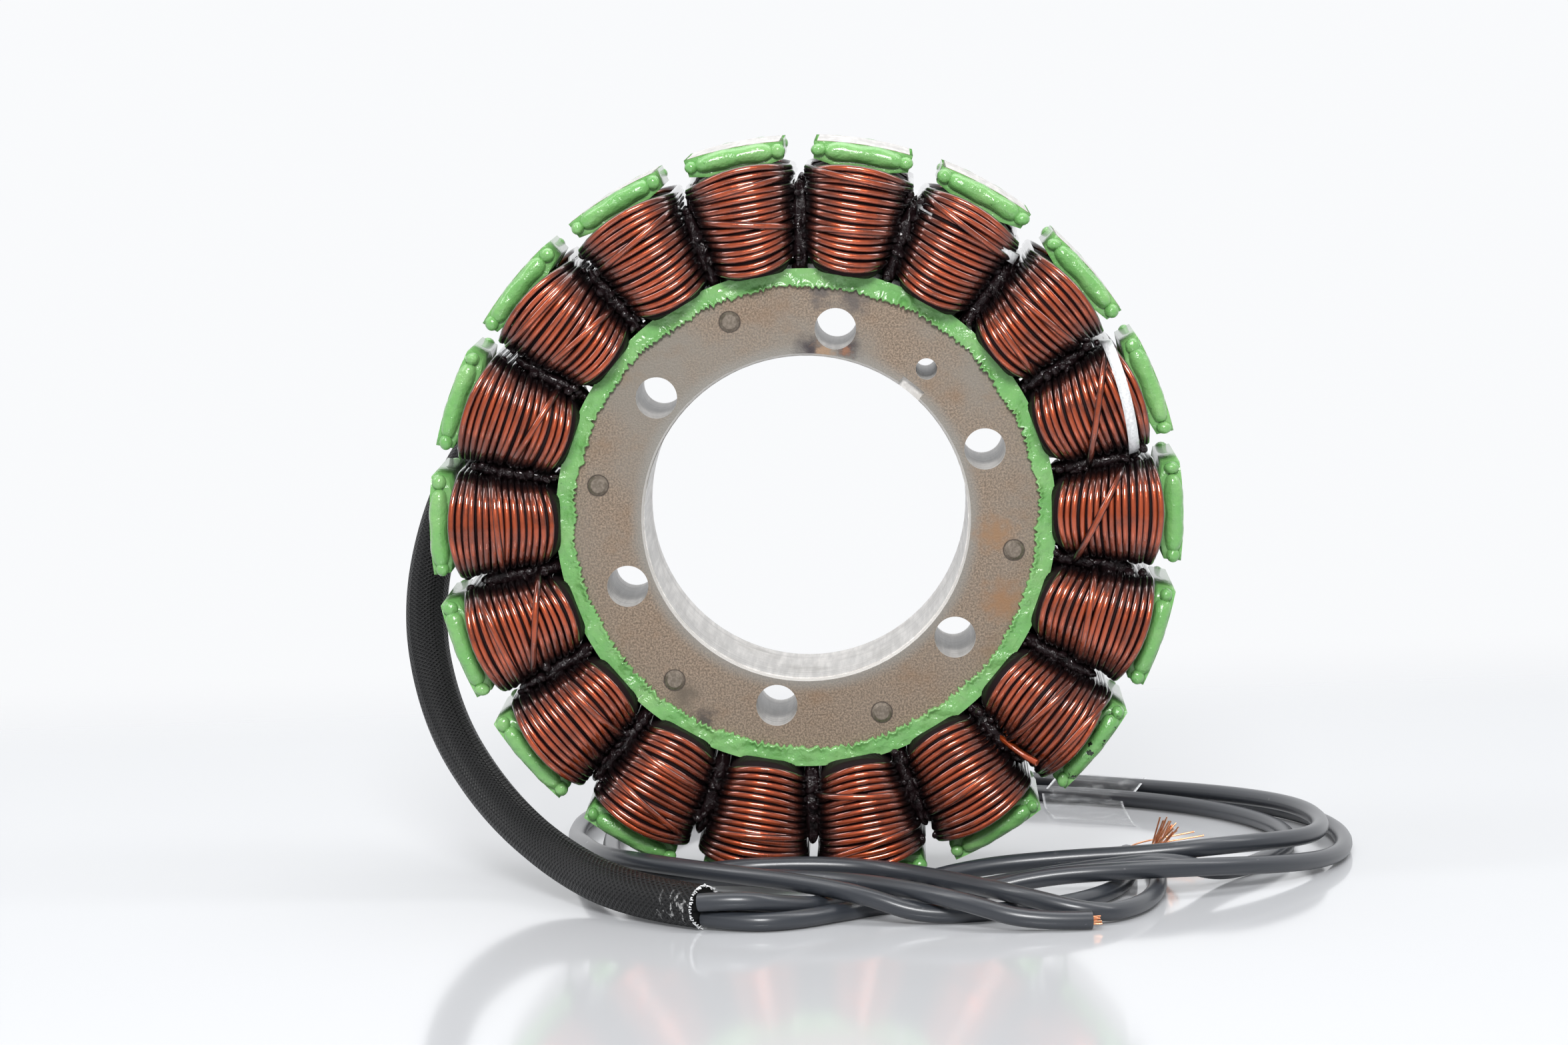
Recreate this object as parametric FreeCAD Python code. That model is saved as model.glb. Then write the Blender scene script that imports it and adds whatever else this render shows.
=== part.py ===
import FreeCAD, Part
import math
import os
from FreeCAD import Vector

# Wound stator of a permanent-magnet alternator, in millimetres.
# The ring's axis lies along Y. The wound face that carries the notch looks towards -Y (front),
# the mounting face is at y = 0 (rear), and +Z is up as the ring stands on its rim.
# The origin is the centre of the bore in the rear mounting face.
# Angles are in degrees, from +X towards +Z, as seen from the front.

# Core
POLES = 18
CORE_DEPTH = 30.0
FRONT_PLATE = 1.2
OUTER_R = 60.0
BORE_R = 25.8
PLATE_BORE_GAP = 0.15
PLATE_BORE_CHAMFER = 0.3
SLOT_FLOOR_R = 38.4
TOOTH_W = 7.0
SHOE_SPAN = 14.2
SHOE_END = 2.3
SHOE_NECK = 3.3

# Holes, rivets and locating notch
BOLTS = 6
BOLT_HOLE_R = 3.3
BOLT_WALL = 1.4
FIRST_BOLT = 20.0
RIVET_ANGLES = (110.0, 170.0, 230.0, 290.0, 350.0)
RIVET_R = 1.6
RIVET_RIM = 1.7
RIVET_CLEARANCE = 0.02
RIVET_PROUD = 0.35
RIVET_CHAMFER = 0.45
LOCATOR_ANGLE = 50.0
LOCATOR_R = 1.7
NOTCH_W = 4.2
NOTCH_DEPTH = 1.4

# Insulating coat
COAT = 0.5
COAT_FACE = 0.8
COAT_RIM = 1.6
BEAD_PROUD = 0.7
BEAD_W = 2.5

# Coils
COIL_GAP = 0.15
COIL_SIDE_GAP = 0.2355686
COIL_OUTER_HALF = 8.4
COIL_OVERHANG = 5.4
COIL_CORNER = 3.6
TURNS_SHOWN = 11
TURN_RELIEF = 0.42

# Crossover wires, splices and lacing on the rear
CROSSOVER_R = 0.6
CROSSOVER_INSET = 0.5
CROSSOVER_GAP = 0.08
CROSSOVER_FIRST_SLOT = 8.5
SPLICE_R = 1.6
SPLICE_LENGTH = 19.0
SPLICE_GAP = 0.15
STAR_R = 2.2
STAR_LENGTH = 17.0
STAR_ANGLE = 200.0
STRAP_T = 0.35
STRAP_W = 1.8
STRAP_GAP = 0.12

# Leads, their sleeve and the tape round them
SLEEVE_D = 7.0
LEAD_D = 2.9
BEND_SHARE = 0.45
STRAND_R = 0.16
STRAND_RING_R = LEAD_D / 4.0
STRANDS_A = {"aim": Vector(1.0, 0.35, 0.0), "length": 9.0, "spread": 0.06, "count": 5}
STRANDS_B = {"aim": Vector(0.55, 0.4, 0.75), "length": 7.0, "spread": 0.16, "count": 7}
STRANDS_C = {"aim": Vector(1.0, 0.18, 0.0), "length": 1.6, "spread": 0.05, "count": 7}
TAPE_T = 0.15
TAPE_SLACK = 0.42
TAPE_W = 16.0

PITCH = 360.0 / POLES
PLATE_BORE_R = BORE_R + PLATE_BORE_GAP
BOLT_CIRCLE_R = BORE_R + BOLT_WALL + BOLT_HOLE_R
COAT_EDGE_R = SLOT_FLOOR_R - COAT_RIM
RIVET_CIRCLE_R = COAT_EDGE_R - RIVET_RIM - RIVET_R
CROSSOVER_RING_R = SLOT_FLOOR_R - CROSSOVER_INSET
REST_ANGLE = (PITCH - SHOE_SPAN) / 2.0 - math.degrees(COAT / OUTER_R)
FLOOR_Z = -OUTER_R * math.cos(math.radians(REST_ANGLE))
FRONT_Y = -CORE_DEPTH
STACK_FRONT_Y = FRONT_Y + FRONT_PLATE
COIL_FLOOR_R = SLOT_FLOOR_R + COAT + COIL_GAP
COIL_TOP_R = OUTER_R - SHOE_NECK - COAT - COIL_GAP
# A coil's half width at the slot floor, short of the middle of the slot
COIL_INNER_HALF = COIL_FLOOR_R * math.tan(math.radians(PITCH / 2.0)) - COIL_SIDE_GAP
COIL_FRONT_Y = FRONT_Y - COAT_FACE - COIL_OVERHANG
COIL_REAR_Y = COAT_FACE + COIL_OVERHANG
AXIS = Vector(0, 1, 0)


def polar(r, angle, y=0.0):
    """Point at radius r and angle on the plane at height y along the axis."""
    a = math.radians(angle)
    return Vector(r * math.cos(a), y, r * math.sin(a))


def on_tooth(angle, out, side, y=0.0):
    """Point at distance out along the centre line of the tooth at angle, and side across it."""
    a = math.radians(angle)
    return Vector(out * math.cos(a) - side * math.sin(a), y, out * math.sin(a) + side * math.cos(a))


def line(p, q):
    return Part.LineSegment(p, q).toShape()


def arc(p, middle, q):
    return Part.Arc(p, middle, q).toShape()


def disc(r, centre):
    return Part.Face(Part.Wire(Part.makeCircle(r, centre, AXIS)))


def along_axis(face, y0, y1):
    """Solid of a face drawn at y = 0, from y0 to y1."""
    moved = face.copy()
    moved.translate(Vector(0, y0, 0))
    return moved.extrude(Vector(0, y1 - y0, 0))


def turned(shape, angle):
    """Copy of a shape turned about the ring's axis, from +X towards +Z."""
    copy = shape.copy()
    copy.rotate(Vector(0, 0, 0), AXIS, -angle)
    return copy


def toothed_outline(skin, tip_skin):
    """Closed outline of the yoke and its teeth, grown by skin in the slots and tip_skin at the shoe ends."""
    half = TOOTH_W / 2.0 + skin
    floor_r = SLOT_FLOOR_R + skin
    neck = OUTER_R - SHOE_NECK - skin
    end_r = OUTER_R - SHOE_END - skin
    end = SHOE_SPAN / 2.0 + math.degrees(tip_skin / OUTER_R)
    root = math.sqrt(floor_r ** 2 - half ** 2)
    edges = []
    for k in range(POLES):
        a = k * PITCH
        low_root = on_tooth(a, root, -half)
        low_neck = on_tooth(a, neck, -half)
        low_end = polar(end_r, a - end)
        low_tip = polar(OUTER_R, a - end)
        high_tip = polar(OUTER_R, a + end)
        high_end = polar(end_r, a + end)
        high_neck = on_tooth(a, neck, half)
        high_root = on_tooth(a, root, half)
        next_root = on_tooth(a + PITCH, root, -half)
        edges += [
            line(low_root, low_neck), line(low_neck, low_end), line(low_end, low_tip),
            arc(low_tip, polar(OUTER_R, a), high_tip),
            line(high_tip, high_end), line(high_end, high_neck), line(high_neck, high_root),
            arc(high_root, polar(floor_r, a + PITCH / 2.0), next_root),
        ]
    return Part.Face(Part.Wire(edges))


def bolt_centres():
    return [polar(BOLT_CIRCLE_R, FIRST_BOLT + 360.0 / BOLTS * k) for k in range(BOLTS)]


def rivet_centres():
    return [polar(RIVET_CIRCLE_R, a) for a in RIVET_ANGLES]


def pierced(face, bore_r):
    """The toothed face with its bore and every through hole."""
    rivet_hole_r = RIVET_R + RIVET_CLEARANCE
    cuts = [disc(bore_r, Vector(0, 0, 0)), disc(LOCATOR_R, polar(BOLT_CIRCLE_R, LOCATOR_ANGLE))]
    cuts += [disc(BOLT_HOLE_R, c) for c in bolt_centres()]
    cuts += [disc(rivet_hole_r, c) for c in rivet_centres()]
    for cut in cuts:
        face = face.cut(cut)
    return face


def lamination_stack():
    """The riveted stack of toothed sheets, behind the front end plate."""
    return along_axis(pierced(toothed_outline(0.0, 0.0), BORE_R), STACK_FRONT_Y, 0.0)


def front_end_plate():
    """The thicker end sheet, with a chamfered bore and a shallow locating notch in the bore's edge."""
    plate = along_axis(pierced(toothed_outline(0.0, 0.0), PLATE_BORE_R), FRONT_Y, STACK_FRONT_Y)
    chamfer = Part.makeCone(
        PLATE_BORE_R + PLATE_BORE_CHAMFER, PLATE_BORE_R, PLATE_BORE_CHAMFER, Vector(0, FRONT_Y, 0), AXIS)
    notch = Part.makeBox(PLATE_BORE_R + NOTCH_DEPTH, FRONT_PLATE, NOTCH_W, Vector(0, FRONT_Y, -NOTCH_W / 2.0))
    return plate.cut(chamfer).cut(turned(notch, LOCATOR_ANGLE))


def rivet(centre):
    """Straight rivet, closed to a low chamfered head at each end."""
    y0 = FRONT_Y - RIVET_PROUD
    y1 = RIVET_PROUD
    top = RIVET_R - RIVET_CHAMFER
    profile = Part.makePolygon([
        Vector(0, y0, 0), Vector(top, y0, 0), Vector(RIVET_R, y0 + RIVET_PROUD, 0),
        Vector(RIVET_R, y1 - RIVET_PROUD, 0), Vector(top, y1, 0), Vector(0, y1, 0), Vector(0, y0, 0),
    ])
    body = Part.Face(profile).revolve(Vector(0, 0, 0), AXIS, 360)
    body.translate(Vector(centre.x, 0, centre.z))
    return body


def coat_bead(angle, y0, y1):
    """Thick bead of coat along the outer edge of one tooth's shoe, on one face."""
    half = SHOE_SPAN / 2.0
    inner = OUTER_R - BEAD_W
    edges = [
        line(polar(inner, angle - half), polar(OUTER_R, angle - half)),
        arc(polar(OUTER_R, angle - half), polar(OUTER_R, angle), polar(OUTER_R, angle + half)),
        line(polar(OUTER_R, angle + half), polar(inner, angle + half)),
        line(polar(inner, angle + half), polar(inner, angle - half)),
    ]
    return along_axis(Part.Face(Part.Wire(edges)), y0, y1)


def insulation_coat():
    """Resin coat over the slots and both faces, open at the shoes' outer faces and round the bolt circle."""
    outline = toothed_outline(COAT, COAT).cut(disc(COAT_EDGE_R, Vector(0, 0, 0)))
    core = toothed_outline(0.0, 0.0)
    body = along_axis(outline, FRONT_Y - COAT_FACE, COAT_FACE)
    body = body.cut(along_axis(core, FRONT_Y, 0.0))
    beads = []
    for k in range(POLES):
        beads.append(coat_bead(k * PITCH, FRONT_Y - COAT_FACE - BEAD_PROUD, FRONT_Y - COAT_FACE))
        beads.append(coat_bead(k * PITCH, COAT_FACE, COAT_FACE + BEAD_PROUD))
    return body.multiFuse(beads).removeSplitter()


def coil_ring(out, half, overhang):
    """Eight-sided loop round a tooth that points along +X, at distance out from the centre."""
    y0 = FRONT_Y - COAT_FACE - overhang
    y1 = COAT_FACE + overhang
    c = COIL_CORNER
    return Part.makePolygon([
        Vector(out, y0, -half + c), Vector(out, y0, half - c), Vector(out, y0 + c, half),
        Vector(out, y1 - c, half), Vector(out, y1, half - c), Vector(out, y1, -half + c),
        Vector(out, y1 - c, -half), Vector(out, y0 + c, -half), Vector(out, y0, -half + c),
    ])


def coil():
    """Wire wound round the tooth that points along +X, with one ridge for each turn that shows."""
    rings = []
    span = COIL_TOP_R - COIL_FLOOR_R
    for k in range(2 * TURNS_SHOWN + 1):
        share = k / (2.0 * TURNS_SHOWN)
        relief = TURN_RELIEF if k % 2 == 0 else 0.0
        half = COIL_INNER_HALF + (COIL_OUTER_HALF - COIL_INNER_HALF) * share - relief
        rings.append(coil_ring(COIL_FLOOR_R + span * share, half, COIL_OVERHANG - relief))
    body = Part.makeLoft(rings, True, True)
    half = TOOTH_W / 2.0 + COAT + COIL_GAP
    y0 = FRONT_Y - COAT_FACE - COIL_GAP
    y1 = COAT_FACE + COIL_GAP
    tooth = Part.makeBox(span, y1 - y0, 2 * half, Vector(COIL_FLOOR_R, y0, -half))
    return body.cut(tooth)


def mitred_tube(points, r, sides=6):
    """Straight-sided wire through points that lie in one plane across the ring's axis."""
    rings = []
    for i, p in enumerate(points):
        ahead = points[min(i + 1, len(points) - 1)] - points[max(i - 1, 0)]
        across = ahead.cross(AXIS).normalize()
        ring = []
        for k in range(sides):
            t = 2.0 * math.pi * (k + 0.5) / sides
            ring.append(p + across * (r * math.cos(t)) + AXIS * (r * math.sin(t)))
        rings.append(Part.makePolygon(ring + [ring[0]]))
    return Part.makeLoft(rings, True, True)


def crossover(index):
    """One phase's wire from coil to coil, laid straight from slot to slot on the rear of the yoke."""
    r = CROSSOVER_RING_R - index * (2 * CROSSOVER_R + CROSSOVER_GAP)
    y = COAT_FACE + COIL_GAP + CROSSOVER_R
    first = PITCH * (index + CROSSOVER_FIRST_SLOT)
    return mitred_tube([polar(r, first + PITCH * k, y) for k in range(POLES - 3)], CROSSOVER_R)


def strap(angle):
    """Flat lacing tie round the outer end of one coil."""
    out = COIL_TOP_R - STRAP_W - COIL_GAP
    half = COIL_OUTER_HALF + STRAP_GAP
    y0 = COIL_FRONT_Y - STRAP_GAP
    y1 = COIL_REAR_Y + STRAP_GAP
    t = STRAP_T
    c = COIL_CORNER - 2 * STRAP_GAP
    outside = band_face(y0 - t, y1 + t, half + t, c + t / 2.0)
    inside = band_face(y0, y1, half, c)
    ring = outside.cut(inside).extrude(Vector(STRAP_W, 0, 0))
    ring.translate(Vector(out, 0, 0))
    return turned(ring, angle)


def band_face(y0, y1, half, c):
    """Rectangle with cut corners, on the plane x = 0."""
    corners = [
        Vector(0, y0, -half + c), Vector(0, y0, half - c), Vector(0, y0 + c, half), Vector(0, y1 - c, half),
        Vector(0, y1, half - c), Vector(0, y1, -half + c), Vector(0, y1 - c, -half), Vector(0, y0 + c, -half),
    ]
    return Part.Face(Part.makePolygon(corners + [corners[0]]))


# Routes of the sleeve and the three leads: (x, y, height above the floor that the ring stands on)
SLEEVE_ROUTE = [
    (-41.5, 9.9, 82.0), (-52.3, 10.4, 73.4), (-61.1, 10.9, 59.5), (-65.2, 7.8, 41.3), (-61.4, -2.6, 25.3),
    (-52.7, -16.6, 14.0), (-41.5, -33.0, 6.6), (-28.2, -54.0, 3.55), (-16.6, -63.3, 3.55),
]
LEAD_A_ROUTE = [
    (-16.4, -63.45, 1.8), (-10.2, -67.0, 1.5), (-2.5, -65.6, 1.5), (6.0, -57.8, 1.5), (15.0, -51.0, 1.5),
    (25.0, -47.5, 2.0), (36.0, -46.5, 4.3), (48.0, -46.0, 4.9), (62.0, -42.0, 4.6), (76.0, -31.5, 3.0),
    (85.0, -17.0, 1.6), (88.0, 1.0, 1.5), (85.5, 21.0, 1.5), (75.0, 40.0, 1.5), (58.0, 57.0, 1.5),
    (36.0, 68.0, 1.5), (11.0, 74.0, 1.5), (-14.0, 71.5, 1.5), (-32.0, 58.0, 1.5), (-40.5, 37.0, 1.5),
    (-41.0, 14.0, 1.8), (-38.0, -7.0, 4.2), (-34.5, -25.0, 5.4), (-25.0, -41.5, 6.6), (-12.0, -51.0, 6.3),
    (0.0, -56.5, 5.5), (9.0, -61.5, 4.3), (17.0, -63.2, 1.5), (28.0, -61.7, 1.5), (40.0, -56.0, 1.5),
    (48.5, -43.0, 1.5), (51.0, -26.0, 1.5), (51.0, -9.5, 1.5),
]
LEAD_B_ROUTE = [
    (-17.1, -65.0, 4.45), (-10.4, -66.9, 5.1), (-3.0, -62.5, 3.3), (5.0, -53.8, 1.6), (13.0, -47.0, 1.5),
    (23.0, -43.0, 1.6), (34.0, -41.7, 3.2), (46.0, -41.2, 4.7), (57.0, -39.3, 5.3), (65.0, -31.4, 1.6),
    (73.0, -19.0, 1.5), (78.5, -3.0, 1.5), (78.0, 14.0, 1.5), (70.0, 32.0, 1.5), (56.0, 46.0, 1.5),
    (37.0, 56.0, 1.5), (16.0, 60.5, 1.5), (-5.0, 56.5, 1.5), (-19.0, 43.0, 1.5), (-26.5, 24.0, 1.5),
    (-28.5, 3.0, 1.5), (-27.5, -18.0, 1.5), (-23.3, -34.0, 2.8), (-13.5, -40.6, 5.6), (0.0, -39.6, 5.7),
    (11.5, -41.0, 5.0), (21.5, -50.8, 4.8), (31.5, -63.0, 4.6), (44.0, -67.0, 1.8), (54.0, -59.0, 1.5),
    (57.8, -45.0, 1.5), (58.0, -29.0, 1.5), (56.5, -14.0, 1.5),
]
LEAD_C_ROUTE = [
    (-14.4, -62.7, 4.3), (-7.9, -62.4, 3.2), (-2.0, -56.0, 1.6), (5.0, -46.5, 1.5), (14.0, -38.8, 1.8),
    (26.0, -34.0, 3.9), (40.0, -33.0, 4.8), (54.0, -34.4, 5.6), (67.0, -33.0, 6.6), (80.5, -20.0, 5.4),
    (84.0, -2.0, 4.7), (81.5, 16.0, 4.7), (72.5, 33.5, 3.9), (57.5, 49.5, 3.0), (38.0, 60.0, 3.0),
    (15.0, 67.0, 4.0), (-8.0, 66.0, 4.4), (-26.0, 55.0, 3.0), (-33.5, 38.0, 1.6), (-34.8, 18.0, 1.5),
    (-34.0, -2.0, 1.5), (-31.5, -20.0, 1.9), (-27.3, -33.7, 3.6), (-16.5, -43.5, 4.7), (-4.0, -46.5, 4.8),
    (6.0, -51.0, 4.9), (15.0, -60.0, 5.1), (24.0, -67.5, 4.2), (33.5, -71.2, 1.6), (43.0, -69.5, 1.5),
]
# The two taped leads, each with the run that lies under the tape, counted from the route's start
TAPED_RUNS = ((LEAD_B_ROUTE, 14), (LEAD_C_ROUTE, 13))


def route_points(route):
    return [Vector(x, y, FLOOR_Z + height) for x, y, height in route]


def cord(name, route, diameter):
    """Round cord along straight runs joined by arcs as large as the runs allow."""
    points = route_points(route)
    edges = []
    radii = []
    start = points[0]
    for before, corner, after in zip(points, points[1:], points[2:]):
        back = (before - corner).normalize()
        ahead = (after - corner).normalize()
        half_turn = (math.pi - back.getAngle(ahead)) / 2.0
        tangent = BEND_SHARE * min(before.distanceToPoint(corner), corner.distanceToPoint(after))
        radius = tangent / math.tan(half_turn)
        radii.append(round(radius, 1))
        inwards = (back + ahead).normalize()
        middle = corner + inwards * (radius / math.cos(half_turn) - radius)
        edges.append(line(start, corner + back * tangent))
        edges.append(arc(corner + back * tangent, middle, corner + ahead * tangent))
        start = corner + ahead * tangent
    edges.append(line(start, points[-1]))
    path = Part.Wire(edges)
    section = Part.Wire(Part.makeCircle(diameter / 2.0, points[0], points[1] - points[0]))
    tube = path.makePipeShell([section], True, False)
    expected = math.pi * diameter ** 2 / 4.0 * path.Length
    print(name, "length", round(path.Length, 1), "volume / (section x length)", round(tube.Volume / expected, 4))
    print(name, "radii", radii)
    return tube


def strands(route, aim, length, spread, count):
    """Bare strands that leave the cut end of a lead, one in the middle and the rest round it."""
    points = route_points(route)
    end = points[-1]
    along = (end - points[-2]).normalize()
    side = along.cross(Vector(0, 0, 1)).normalize()
    over = side.cross(along).normalize()
    solids = []
    for k in range(count):
        angle = 2.0 * math.pi * k / (count - 1)
        out = (side * math.cos(angle) + over * math.sin(angle)) * (1.0 if k else 0.0)
        base = end + out * STRAND_RING_R
        way = (aim.normalize() + out * spread).normalize()
        tip = base + way * length
        solids.append(mitred_rod(base, tip, along))
    return Part.makeCompound(solids)


def mitred_rod(base, tip, facing, sides=5):
    """Thin straight strand whose first end lies flat on the plane that faces along facing."""
    way = (tip - base).normalize()
    side = way.cross(facing)
    side = side.normalize() if side.Length > 1e-6 else way.cross(Vector(1, 0, 0)).normalize()
    over = side.cross(way).normalize()
    first = []
    last = []
    for k in range(sides):
        t = 2.0 * math.pi * k / sides
        offset = side * (STRAND_R * math.cos(t)) + over * (STRAND_R * math.sin(t))
        first.append(base + offset - way * (offset.dot(facing) / way.dot(facing)))
        last.append(tip + offset)
    rings = [Part.makePolygon(ring + [ring[0]]) for ring in (first, last)]
    return Part.makeLoft(rings, True, True)


def clear_tape():
    """Thin film wound once round two of the leads, where they lie side by side behind the ring."""
    leads = []
    for route, run in TAPED_RUNS:
        points = route_points(route)
        leads.append((points[run], points[run + 1]))
    middles = [(p + q) * 0.5 for p, q in leads]
    along = (leads[0][1] - leads[0][0]).normalize()
    across = middles[1] - middles[0]
    across = across - along * across.dot(along)
    reach = across.Length
    across = across.normalize()
    centre = middles[0] - along * (TAPE_W / 2.0)
    inner = LEAD_D / 2.0 + TAPE_SLACK
    skins = []
    for r in (inner + TAPE_T, inner):
        up = across.cross(along).normalize() * r
        near = centre
        far = centre + across * reach
        skins.append(Part.Face(Part.Wire([
            line(near + up, far + up), arc(far + up, far + across * r, far - up),
            line(far - up, near - up), arc(near - up, near - across * r, near + up),
        ])))
    return skins[0].cut(skins[1]).extrude(along * TAPE_W)


def splice(index):
    """Shrink sleeve over the joint of one lead with its coil wire, end to end with the lead sleeve."""
    start, ahead = route_points(SLEEVE_ROUTE)[:2]
    way = (start - ahead).normalize()
    up = way.cross(AXIS).normalize()
    out = up.cross(way).normalize()
    angle = math.radians(90 + 120 * index)
    ring = (SPLICE_R + SPLICE_GAP / 2.0) / math.cos(math.radians(30))
    base = start + up * (ring * math.cos(angle)) + out * (ring * math.sin(angle))
    return Part.makeCylinder(SPLICE_R, SPLICE_LENGTH, base, way)


def star_sleeve():
    """Sleeve over the star point, where the three coil groups end, laid outwards over one coil."""
    y = COIL_REAR_Y + COIL_GAP + STAR_R
    base = polar(COIL_FLOOR_R, STAR_ANGLE, y)
    way = polar(1.0, STAR_ANGLE)
    body = Part.makeCylinder(STAR_R, STAR_LENGTH, base, way)
    return body.makeChamfer(STAR_R / 3.0, [body.Edges[0], body.Edges[2]])


def save(name, shape):
    shape.exportStep("parts/" + name + ".step")
    print(name, len(shape.Solids), "solid(s)", round(shape.Volume, 1), "mm3", shape.isValid())


def main():
    os.makedirs("parts", exist_ok=True)
    save("lamination_stack", lamination_stack())
    save("front_end_plate", front_end_plate())
    save("rivets", Part.makeCompound([rivet(c) for c in rivet_centres()]))
    save("insulation_coat", insulation_coat())
    wound = coil()
    for k in range(POLES):
        save("coil_%02d" % (k + 1), turned(wound, k * PITCH))
    for k, letter in enumerate("abc"):
        save("crossover_" + letter, crossover(k))
        save("splice_sleeve_" + letter, splice(k))
    save("star_point_sleeve", star_sleeve())
    save("lacing_tie_1", strap(PITCH))
    save("lacing_tie_2", strap(3 * PITCH))
    save("lead_sleeve", cord("lead_sleeve", SLEEVE_ROUTE, SLEEVE_D))
    save("lead_a", cord("lead_a", LEAD_A_ROUTE, LEAD_D))
    save("lead_b", cord("lead_b", LEAD_B_ROUTE, LEAD_D))
    save("lead_c", cord("lead_c", LEAD_C_ROUTE, LEAD_D))
    save("strand_end_a", strands(LEAD_A_ROUTE, **STRANDS_A))
    save("strand_end_b", strands(LEAD_B_ROUTE, **STRANDS_B))
    save("strand_end_c", strands(LEAD_C_ROUTE, **STRANDS_C))
    save("clear_tape", clear_tape())


main()
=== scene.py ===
"""Wound stator of a small alternator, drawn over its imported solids, an operator for each group of pieces.

X is to the right, Y to the rear and Z up, with the origin at the centre of the bore on the rear face.
An angle round the bore is counted from +X towards +Z, as it is seen from the front.
"""

import math

import bmesh
import bpy
import numpy as np
from mathutils import Matrix, Vector


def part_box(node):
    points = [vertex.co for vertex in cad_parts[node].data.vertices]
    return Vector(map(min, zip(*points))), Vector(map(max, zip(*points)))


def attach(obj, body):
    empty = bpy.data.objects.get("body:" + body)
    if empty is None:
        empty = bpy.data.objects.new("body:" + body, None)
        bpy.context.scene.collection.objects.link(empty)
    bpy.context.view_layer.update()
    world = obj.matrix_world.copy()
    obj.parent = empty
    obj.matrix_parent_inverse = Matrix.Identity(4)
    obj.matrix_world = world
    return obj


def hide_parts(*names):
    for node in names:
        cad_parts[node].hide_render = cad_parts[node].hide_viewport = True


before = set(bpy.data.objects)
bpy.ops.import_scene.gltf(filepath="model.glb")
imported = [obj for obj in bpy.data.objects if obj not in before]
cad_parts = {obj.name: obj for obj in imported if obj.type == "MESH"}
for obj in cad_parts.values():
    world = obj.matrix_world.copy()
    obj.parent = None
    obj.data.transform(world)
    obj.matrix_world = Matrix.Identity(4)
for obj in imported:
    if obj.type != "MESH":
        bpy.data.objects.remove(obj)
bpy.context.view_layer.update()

bl_info = {
    "name": "Wound stator",
    "version": (1, 0, 0),
    "blender": (4, 5, 0),
    "location": "3D View > Sidebar > Stator",
    "description": "Builds the wound stator, its leads and its studio",
    "category": "Add Mesh",
}

MM = 0.001
DEG = math.pi / 180.0

# The core and its coat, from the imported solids.
POLES = 18
PITCH = 2.0 * math.pi / POLES
TOOTH_ANGLES = PITCH * np.arange(POLES)
SLOT_ANGLES = PITCH * (np.arange(POLES) + 0.5)
PLATE_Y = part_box("front_end_plate")[0].y
OUTER_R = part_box("lamination_stack")[1].x
FLOOR_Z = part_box("insulation_coat")[0].z
COAT_FACE = 0.8 * MM
COAT_SKIN = 0.5 * MM
COAT_EDGE_R = 36.8 * MM
COAT_OUTER_R = OUTER_R - 0.05 * MM
SLOT_FLOOR_R = 38.4 * MM + COAT_SKIN
STEM_HALF = 3.5 * MM + COAT_SKIN
NECK_R = OUTER_R - 3.3 * MM - COAT_SKIN
SHOE_END_R = OUTER_R - 2.3 * MM - COAT_SKIN
SHOE_HALF_ANGLE = 7.1 * DEG + COAT_SKIN / OUTER_R
BEAD_HALF_ANGLE = 6.2 * DEG
BEAD_R = OUTER_R - 1.52 * MM
BEAD_HALF_W = 1.46 * MM
BEAD_RISE = 1.5 * MM
BEAD_SWELL = 0.07
BEAD_END_SMALLEST, BEAD_END_LARGEST = 0.92 * MM, 1.30 * MM
PITTED_BEAD_ANGLE = 320.0 * DEG
TEAR_SLOW, TEAR_FAST, TEAR_CHANCE = 0.18 * MM, 0.17 * MM, 0.3 * MM
LIP_RISE = 0.38 * MM
WAVE_RISE = 0.12 * MM
DIMPLE_R, DIMPLE_ANGLE = 37.75 * MM, 64.5 * DEG
DIMPLE_W, DIMPLE_DEPTH = 0.62 * MM, 0.75 * MM
DIMPLE_RIM_R, DIMPLE_RIM_W, DIMPLE_RIM_RISE = 1.0 * MM, 0.35 * MM, 0.35 * MM

RIVET_ANGLES = (110.0, 170.0, 230.0, 290.0, 350.0)
RIVET_CIRCLE_R = 33.5 * MM
RIVET_R = 1.6 * MM

# One coil, on the tooth that points along +X.
COIL_LOW, COIL_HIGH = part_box("coil_01")
COIL_FLOOR_R = COIL_LOW.x
COIL_TOP_R = COIL_HIGH.x
COIL_MID_Y = (COIL_LOW.y + COIL_HIGH.y) / 2.0
COIL_INNER_HALF = 6.65 * MM
WOUND_HALF = COIL_HIGH.z + 0.85 * MM
STRAIGHT_HALF = -PLATE_Y / 2.0
END_DEPTH = COIL_MID_Y - COIL_LOW.y - STRAIGHT_HALF
END_SQUARENESS = 2.25
END_STEPS = 17
END_TOP_R = COIL_TOP_R + 1.4 * MM
TURN_RISE = 1.5 * MM
TURN_FALL = 0.4 * MM
CORE_INSET = 0.42 * MM
CORE_STEPS = 9
CORE_START, CORE_SHORTER = 0.2 * MM, 1.5 * MM
CORE_HOLE_GAP, CORE_HOLE_DEPTH = 0.2 * MM, 1.0 * MM
WIRE_SIDES = 8
OUTWARD = np.array([1.0, 0.0, 0.0])

# How far a turn strays, as shares of the unevenness. A crossing turn, as shares of the wire's radius.
STRAY_OUT = 0.5
STRAY_WIDTH = 1.7
STRAY_DEPTH = 2.2
STRAY_LEAN = 2.6
CROSSING_LIFT, CROSSING_SPREAD, CROSSING_LIMIT = 1.15, 0.15, 0.4

# The painted shade on a coil's sides, in the varnish's colour: where it starts, over what share it grows, and
# how slowly.
SIDE_SHADE_START, SIDE_SHADE_GROWTH, SIDE_SHADE_POWER = 0.38, 0.5, 1.3

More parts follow.
